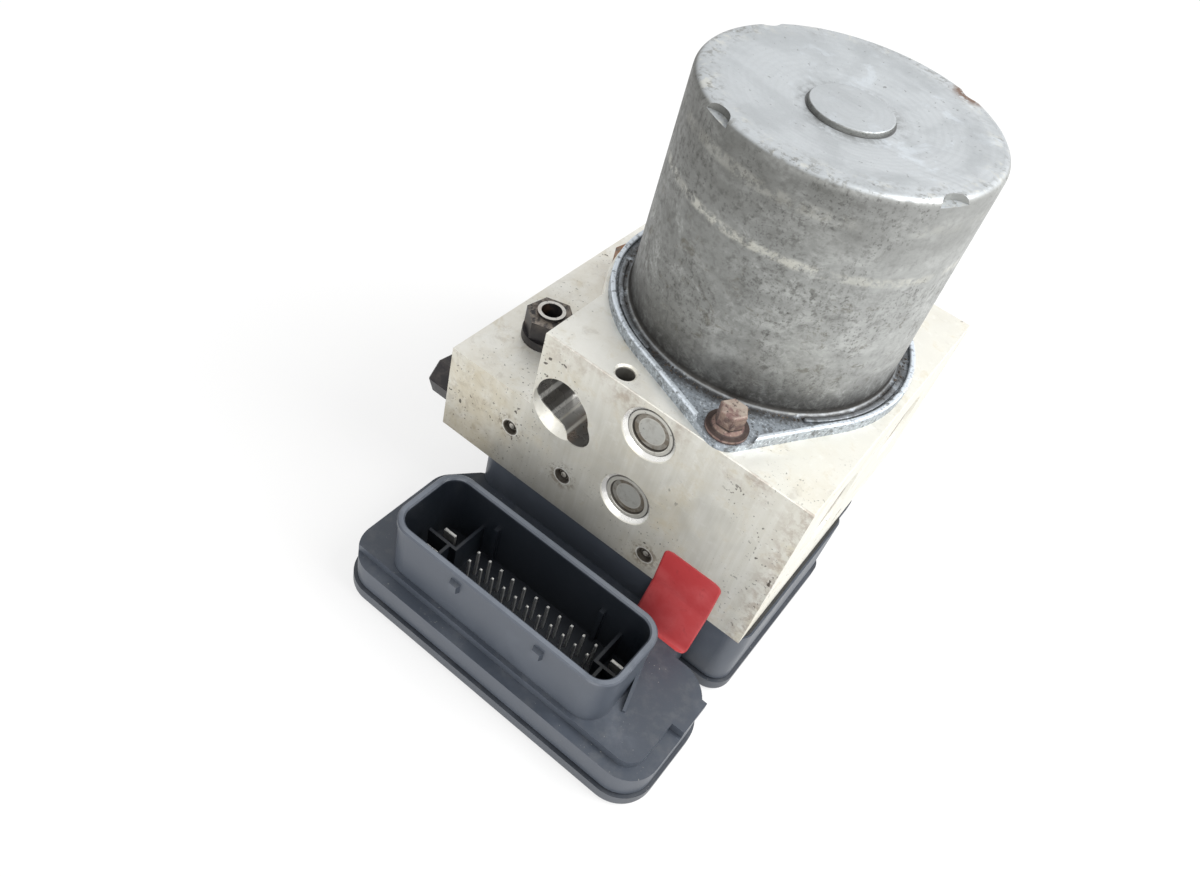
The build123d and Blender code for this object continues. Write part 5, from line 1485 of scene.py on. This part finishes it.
@dataclass
class FlangeGrit:
    """Road dirt that has gathered round the foot of the motor."""

    radius: float = 37.6
    rise: float = 2.0
    count: int = 420
    spread: float = 1.1
    size: float = 0.42
    seed: int = 7
    ring_steps: int = 96
    crumb_shape: Point = (1.0, 0.8, 0.55)
    crumb_least: float = 0.25
    crumb_tilt: float = 0.3
    crumb_rise: float = 0.02

    def build(self) -> bpy.types.Object:
        """Scatter the crumbs.

        Returns:
            The piece.
        """
        values = {
            "Radius": self.radius * MM,
            "Count": self.count,
            "Spread": self.spread * MM,
            "Size": self.size * MM,
            "Seed": self.seed,
            "Material": GRIT_FINISH.build(),
        }
        piece = grow("flange_grit", [(0.0, 0.0, BLOCK_TOP + self.rise * MM)], self.plant(), values)
        settle(piece)
        return piece

    def plant(self) -> bpy.types.NodeTree:
        """Build the tree that scatters crumbs of grit on a ring.

        Returns:
            The tree.
        """
        sketch = NodeSketch("ring_of_grit")
        radius = sketch.ask("Radius", "Float")
        count = sketch.ask("Count", "Int")
        spread = sketch.ask("Spread", "Float")
        size = sketch.ask("Size", "Float")
        seed = sketch.ask("Seed", "Int")
        material = sketch.ask("Material", "Material")
        ring = sketch.node("GeometryNodeCurvePrimitiveCircle", Resolution=self.ring_steps, Radius=radius)
        spaced = sketch.node("GeometryNodeResampleCurve", Curve=ring.outputs[0], Count=count)
        places = sketch.node(
            "GeometryNodeInstanceOnPoints",
            Points=sketch.inlet.outputs["Geometry"],
            Instance=spaced.outputs[0],
        )
        real = sketch.node("GeometryNodeRealizeInstances", Geometry=places.outputs[0])
        loose = sketch.node("GeometryNodeCurveToPoints", Curve=real.outputs[0], Count=count)
        shift = sketch.node("FunctionNodeRandomValue", Seed=seed)
        shift.data_type = "FLOAT_VECTOR"
        shift.inputs[0].default_value = (-1.0, -1.0, -self.crumb_rise)
        shift.inputs[1].default_value = (1.0, 1.0, self.crumb_rise)
        reach = sketch.node("ShaderNodeVectorMath")
        reach.operation = "SCALE"
        sketch.tree.links.new(shift.outputs[0], reach.inputs[0])
        sketch.tree.links.new(spread, reach.inputs["Scale"])
        moved = sketch.node("GeometryNodeSetPosition", Geometry=loose.outputs[0], Offset=reach.outputs[0])
        crumb = sketch.node("GeometryNodeMeshIcoSphere", Radius=size, Subdivisions=2)
        flat = sketch.node("GeometryNodeTransform", Geometry=crumb.outputs[0], Scale=self.crumb_shape)
        scale = sketch.node("FunctionNodeRandomValue", Seed=seed)
        scale.data_type = "FLOAT"
        scale.inputs[2].default_value = self.crumb_least
        scale.inputs[3].default_value = 1.0
        spin = sketch.node("FunctionNodeRandomValue", Seed=seed)
        spin.data_type = "FLOAT_VECTOR"
        spin.inputs[0].default_value = (-self.crumb_tilt, -self.crumb_tilt, 0.0)
        spin.inputs[1].default_value = (self.crumb_tilt, self.crumb_tilt, 2 * pi)
        copies = sketch.node(
            "GeometryNodeInstanceOnPoints",
            Points=moved.outputs[0],
            Instance=flat.outputs[0],
            Rotation=spin.outputs[0],
            Scale=scale.outputs[1],
        )
        return sketch.close(copies.outputs[0], material)


@dataclass
class Sticker:
    """Bare red sticker, taut over the joint of block and control unit, its foot on the plate."""

    left: float = 15.2
    right: float = 32.8
    top: float = 41.2
    plate: float = 15.0
    reach: float = 4.4
    foot: float = 1.2
    corner: float = 2.2
    lift: float = 0.12
    thickness: float = 0.10
    columns: int = 28
    rows: int = 64
    crinkle: float = 0.05
    crinkle_scale: float = 0.22
    crinkle_layer: float = 3.1
    crinkle_base: float = 0.6
    path: list[tuple[float, float]] = field(default_factory=list)

    def trace(self) -> None:
        """Lay the course down the face and over to the plate, as distances out of the face and heights."""
        joint = BLOCK_FOOT / MM
        floor = self.plate + self.lift
        self.path = [
            (self.lift, self.top),
            (self.lift, joint + 1.4),
            (self.lift + 0.06, joint + 0.5),
            (self.lift + 0.30, joint - 0.4),
            (self.reach - 0.45, floor + 1.1),
            (self.reach, floor + 0.30),
            (self.reach + 0.35, floor),
            (self.reach + self.foot, floor),
        ]

    def along(self, distance: float) -> tuple[float, float]:
        """Find the point of the course at a distance from its start.

        Args:
            distance: The distance along the course, in millimetres.

        Returns:
            The distance out of the face and the height, in millimetres.
        """
        for one, two in zip(self.path, self.path[1:]):
            run = hypot(two[0] - one[0], two[1] - one[1])
            if distance <= run:
                share = distance / run
                return one[0] + (two[0] - one[0]) * share, one[1] + (two[1] - one[1]) * share
            distance -= run
        return self.path[-1]

    def weave(self, distance: float, total: float) -> list[Point]:
        """Lay one row of points across the sticker, shorter near its round corners.

        Args:
            distance: The row's distance along the course, in millimetres.
            total: The whole length of the course, in millimetres.

        Returns:
            The points, in metres.
        """
        end = min(distance, total - distance)
        inset = 0.0
        if end < self.corner:
            inset = self.corner - sqrt(max(0.0, self.corner**2 - (self.corner - end) ** 2))
        out, height = self.along(distance)
        row = []
        for column in range(self.columns + 1):
            x = self.left + inset + (self.right - self.left - 2 * inset) * column / self.columns
            spot = (x * self.crinkle_scale, distance * self.crinkle_scale, self.crinkle_layer)
            wave = self.crinkle * (noise.noise(Vector(spot)) + self.crinkle_base)
            row.append((x * MM, BLOCK_FRONT - (out + wave) * MM, height * MM))
        return row

    def build(self) -> bpy.types.Object:
        """Make the sticker with round corners and a faint crinkle.

        Returns:
            The piece.
        """
        self.trace()
        total = sum(hypot(b[0] - a[0], b[1] - a[1]) for a, b in zip(self.path, self.path[1:]))
        bm = bmesh.new()
        grid = []
        for row in range(self.rows + 1):
            places = self.weave(total * row / self.rows, total)
            grid.append([bm.verts.new(place) for place in places])
        for one, two in zip(grid, grid[1:]):
            for a, b, c, d in zip(one, one[1:], two[1:], two):
                bm.faces.new((d, c, b, a))
        bmesh.ops.recalc_face_normals(bm, faces=bm.faces)
        middle = bm.faces[:][len(bm.faces) // 4]
        if middle.normal.y > 0:
            bmesh.ops.reverse_faces(bm, faces=bm.faces)
        bmesh.ops.solidify(bm, geom=bm.faces[:], thickness=self.thickness * MM)
        bmesh.ops.recalc_face_normals(bm, faces=bm.faces)
        # The rim's faces come in any order, so all faces are put in the order of their middles.
        for index, face in enumerate(sorted(bm.faces, key=lambda face: face.calc_center_median()[:])):
            face.index = index
            face.smooth = True
        bm.faces.sort()
        mesh = bpy.data.meshes.new("red_sticker")
        bm.to_mesh(mesh)
        bm.free()
        mesh.materials.append(STICKER_FINISH.build())
        piece = bring_in("red_sticker", mesh)
        settle(piece)
        return piece


@dataclass(frozen=True)
class Lamp:
    """A soft lamp: its place and width in metres, and its power in watts."""

    name: str
    place: Point
    size: float
    power: float


@dataclass
class Studio:
    """Pale floor, soft light and the camera at the photograph's place."""

    camera_place: Point = (58.406, -203.567, 235.630)
    camera_right: Point = (0.7802103, 0.5898343, 0.2082483)
    camera_down: Point = (0.5556276, -0.5005832, -0.6638482)
    camera_forward: Point = (-0.2873148, 0.6336497, -0.7182884)
    focal_pixels: float = 983.309
    image_width: float = 1200.0
    sensor: float = 36.0
    clip_start: float = 0.01
    floor_size: float = 6.0
    floor_colour: Colour = (0.90, 0.90, 0.895)
    floor_rough: float = 0.9
    floor_gloss: float = 0.1
    floor_glow: float = 0.72
    sky: float = 0.58
    aim: Point = (0.0, -0.01, 0.06)
    lamps: tuple[Lamp, ...] = (
        Lamp("key_lamp", (0.85, 0.30, 1.05), 0.8, 19.0),
        Lamp("fill_lamp", (0.35, -1.05, 0.70), 0.9, 7.4),
    )

    def build(self) -> None:
        """Set up everything around the object."""
        self.lay_floor()
        self.light_world()
        self.hang_lamps()
        self.stand_camera()
        bpy.context.scene.view_settings.view_transform = "Standard"

    def lay_floor(self) -> None:
        """Lay a pale floor that keeps the shadow."""
        half = self.floor_size / 2
        mesh = bpy.data.meshes.new("floor")
        corners = [(-half, -half, 0.0), (half, -half, 0.0), (half, half, 0.0), (-half, half, 0.0)]
        mesh.from_pydata(corners, [], [(0, 1, 2, 3)])
        floor = bring_in("floor", mesh)
        mesh.materials.append(self.make_paper())

    def make_paper(self) -> bpy.types.Material:
        """Make paper that shows nearly white to the eye, and keeps the shadow.

        Returns:
            The floor's material.
        """
        paper = bpy.data.materials.new("pale_paper")
        paper.use_nodes = True
        nodes = paper.node_tree.nodes
        links = paper.node_tree.links
        shader = nodes["Principled BSDF"]
        shader.inputs["Base Color"].default_value = (*self.floor_colour, 1.0)
        shader.inputs["Roughness"].default_value = self.floor_rough
        shader.inputs["Specular IOR Level"].default_value = self.floor_gloss
        glow = nodes.new("ShaderNodeEmission")
        share = nodes.new("ShaderNodeMapRange")
        share.inputs["To Max"].default_value = self.floor_glow
        links.new(self.seen(paper.node_tree), share.inputs["Value"])
        mixed = nodes.new("ShaderNodeMixShader")
        links.new(share.outputs["Result"], mixed.inputs["Fac"])
        links.new(shader.outputs[0], mixed.inputs[1])
        links.new(glow.outputs[0], mixed.inputs[2])
        links.new(mixed.outputs[0], nodes["Material Output"].inputs["Surface"])
        return paper

    def seen(self, tree: bpy.types.NodeTree) -> Socket:
        """Tell the rays of the eye, of reflections and of glass from those that only light.

        Args:
            tree: The node tree.

        Returns:
            1 for a ray that shows the background.
        """
        path = tree.nodes.new("ShaderNodeLightPath")
        first = tree.nodes.new("ShaderNodeMath")
        first.operation = "MAXIMUM"
        tree.links.new(path.outputs["Is Camera Ray"], first.inputs[0])
        tree.links.new(path.outputs["Is Glossy Ray"], first.inputs[1])
        second = tree.nodes.new("ShaderNodeMath")
        second.operation = "MAXIMUM"
        tree.links.new(first.outputs[0], second.inputs[0])
        tree.links.new(path.outputs["Is Transmission Ray"], second.inputs[1])
        return second.outputs[0]

    def light_world(self) -> None:
        """Light the object from all round, with a white backdrop for the eye and for reflections."""
        world = bpy.data.worlds.new("studio")
        bpy.context.scene.world = world
        world.use_nodes = True
        nodes = world.node_tree.nodes
        links = world.node_tree.links
        strength = nodes.new("ShaderNodeMapRange")
        strength.inputs["To Min"].default_value = self.sky
        strength.inputs["To Max"].default_value = 1.0
        links.new(self.seen(world.node_tree), strength.inputs["Value"])
        background = nodes["Background"]
        background.inputs["Color"].default_value = (1.0, 1.0, 1.0, 1.0)
        links.new(strength.outputs["Result"], background.inputs["Strength"])

    def hang_lamps(self) -> None:
        """Hang the soft lamps and turn them to the object."""
        for lamp in self.lamps:
            light = bpy.data.lights.new(lamp.name, "AREA")
            light.size = lamp.size
            light.energy = lamp.power
            hung = bring_in(lamp.name, light)
            hung.location = lamp.place
            course = Vector(self.aim) - Vector(lamp.place)
            hung.rotation_euler = course.to_track_quat("-Z", "Y").to_euler()

    def stand_camera(self) -> None:
        """Stand the camera where the photograph was taken."""
        data = bpy.data.cameras.new("photo_camera")
        data.sensor_fit = "HORIZONTAL"
        data.sensor_width = self.sensor
        data.lens = self.focal_pixels / self.image_width * self.sensor
        data.clip_start = self.clip_start
        camera = bring_in("photo_camera", data)
        right = Vector(self.camera_right)
        up = -Vector(self.camera_down)
        back = -Vector(self.camera_forward)
        turn = Matrix((right, up, back)).transposed().to_4x4()
        camera.matrix_world = Matrix.Translation(Vector(self.camera_place) * MM) @ turn
        bpy.context.scene.camera = camera


def dress_nodes() -> None:
    """Give every solid of the frame its finish."""
    nodes = FRAME["nodes"]
    for finish, names in NODE_FINISHES.items():
        material = finish.build()
        for name in names:
            mesh = nodes[name].data
            mesh.materials.clear()
            mesh.materials.append(material)
            LOG.info("%s: %s", name, finish.name)
    bare = set(nodes) - {name for names in NODE_FINISHES.values() for name in names}
    if bare:
        LOG.warning("no finish for %s", sorted(bare))


def main() -> None:
    """Build the scene in order and report each piece."""
    logging.basicConfig(level=logging.INFO, format="%(name)s: %(message)s")
    dress_nodes()
    tree = winding_tree()
    pieces = [
        *Ports().build(tree),
        *ReturnSprings().build(tree),
        FlangeGrit().build(),
        Sticker().build(),
    ]
    for piece in pieces:
        LOG.info("%s: %d faces", piece.name, len(piece.data.polygons))
    Studio().build()


if __name__ == "__main__":
    main()
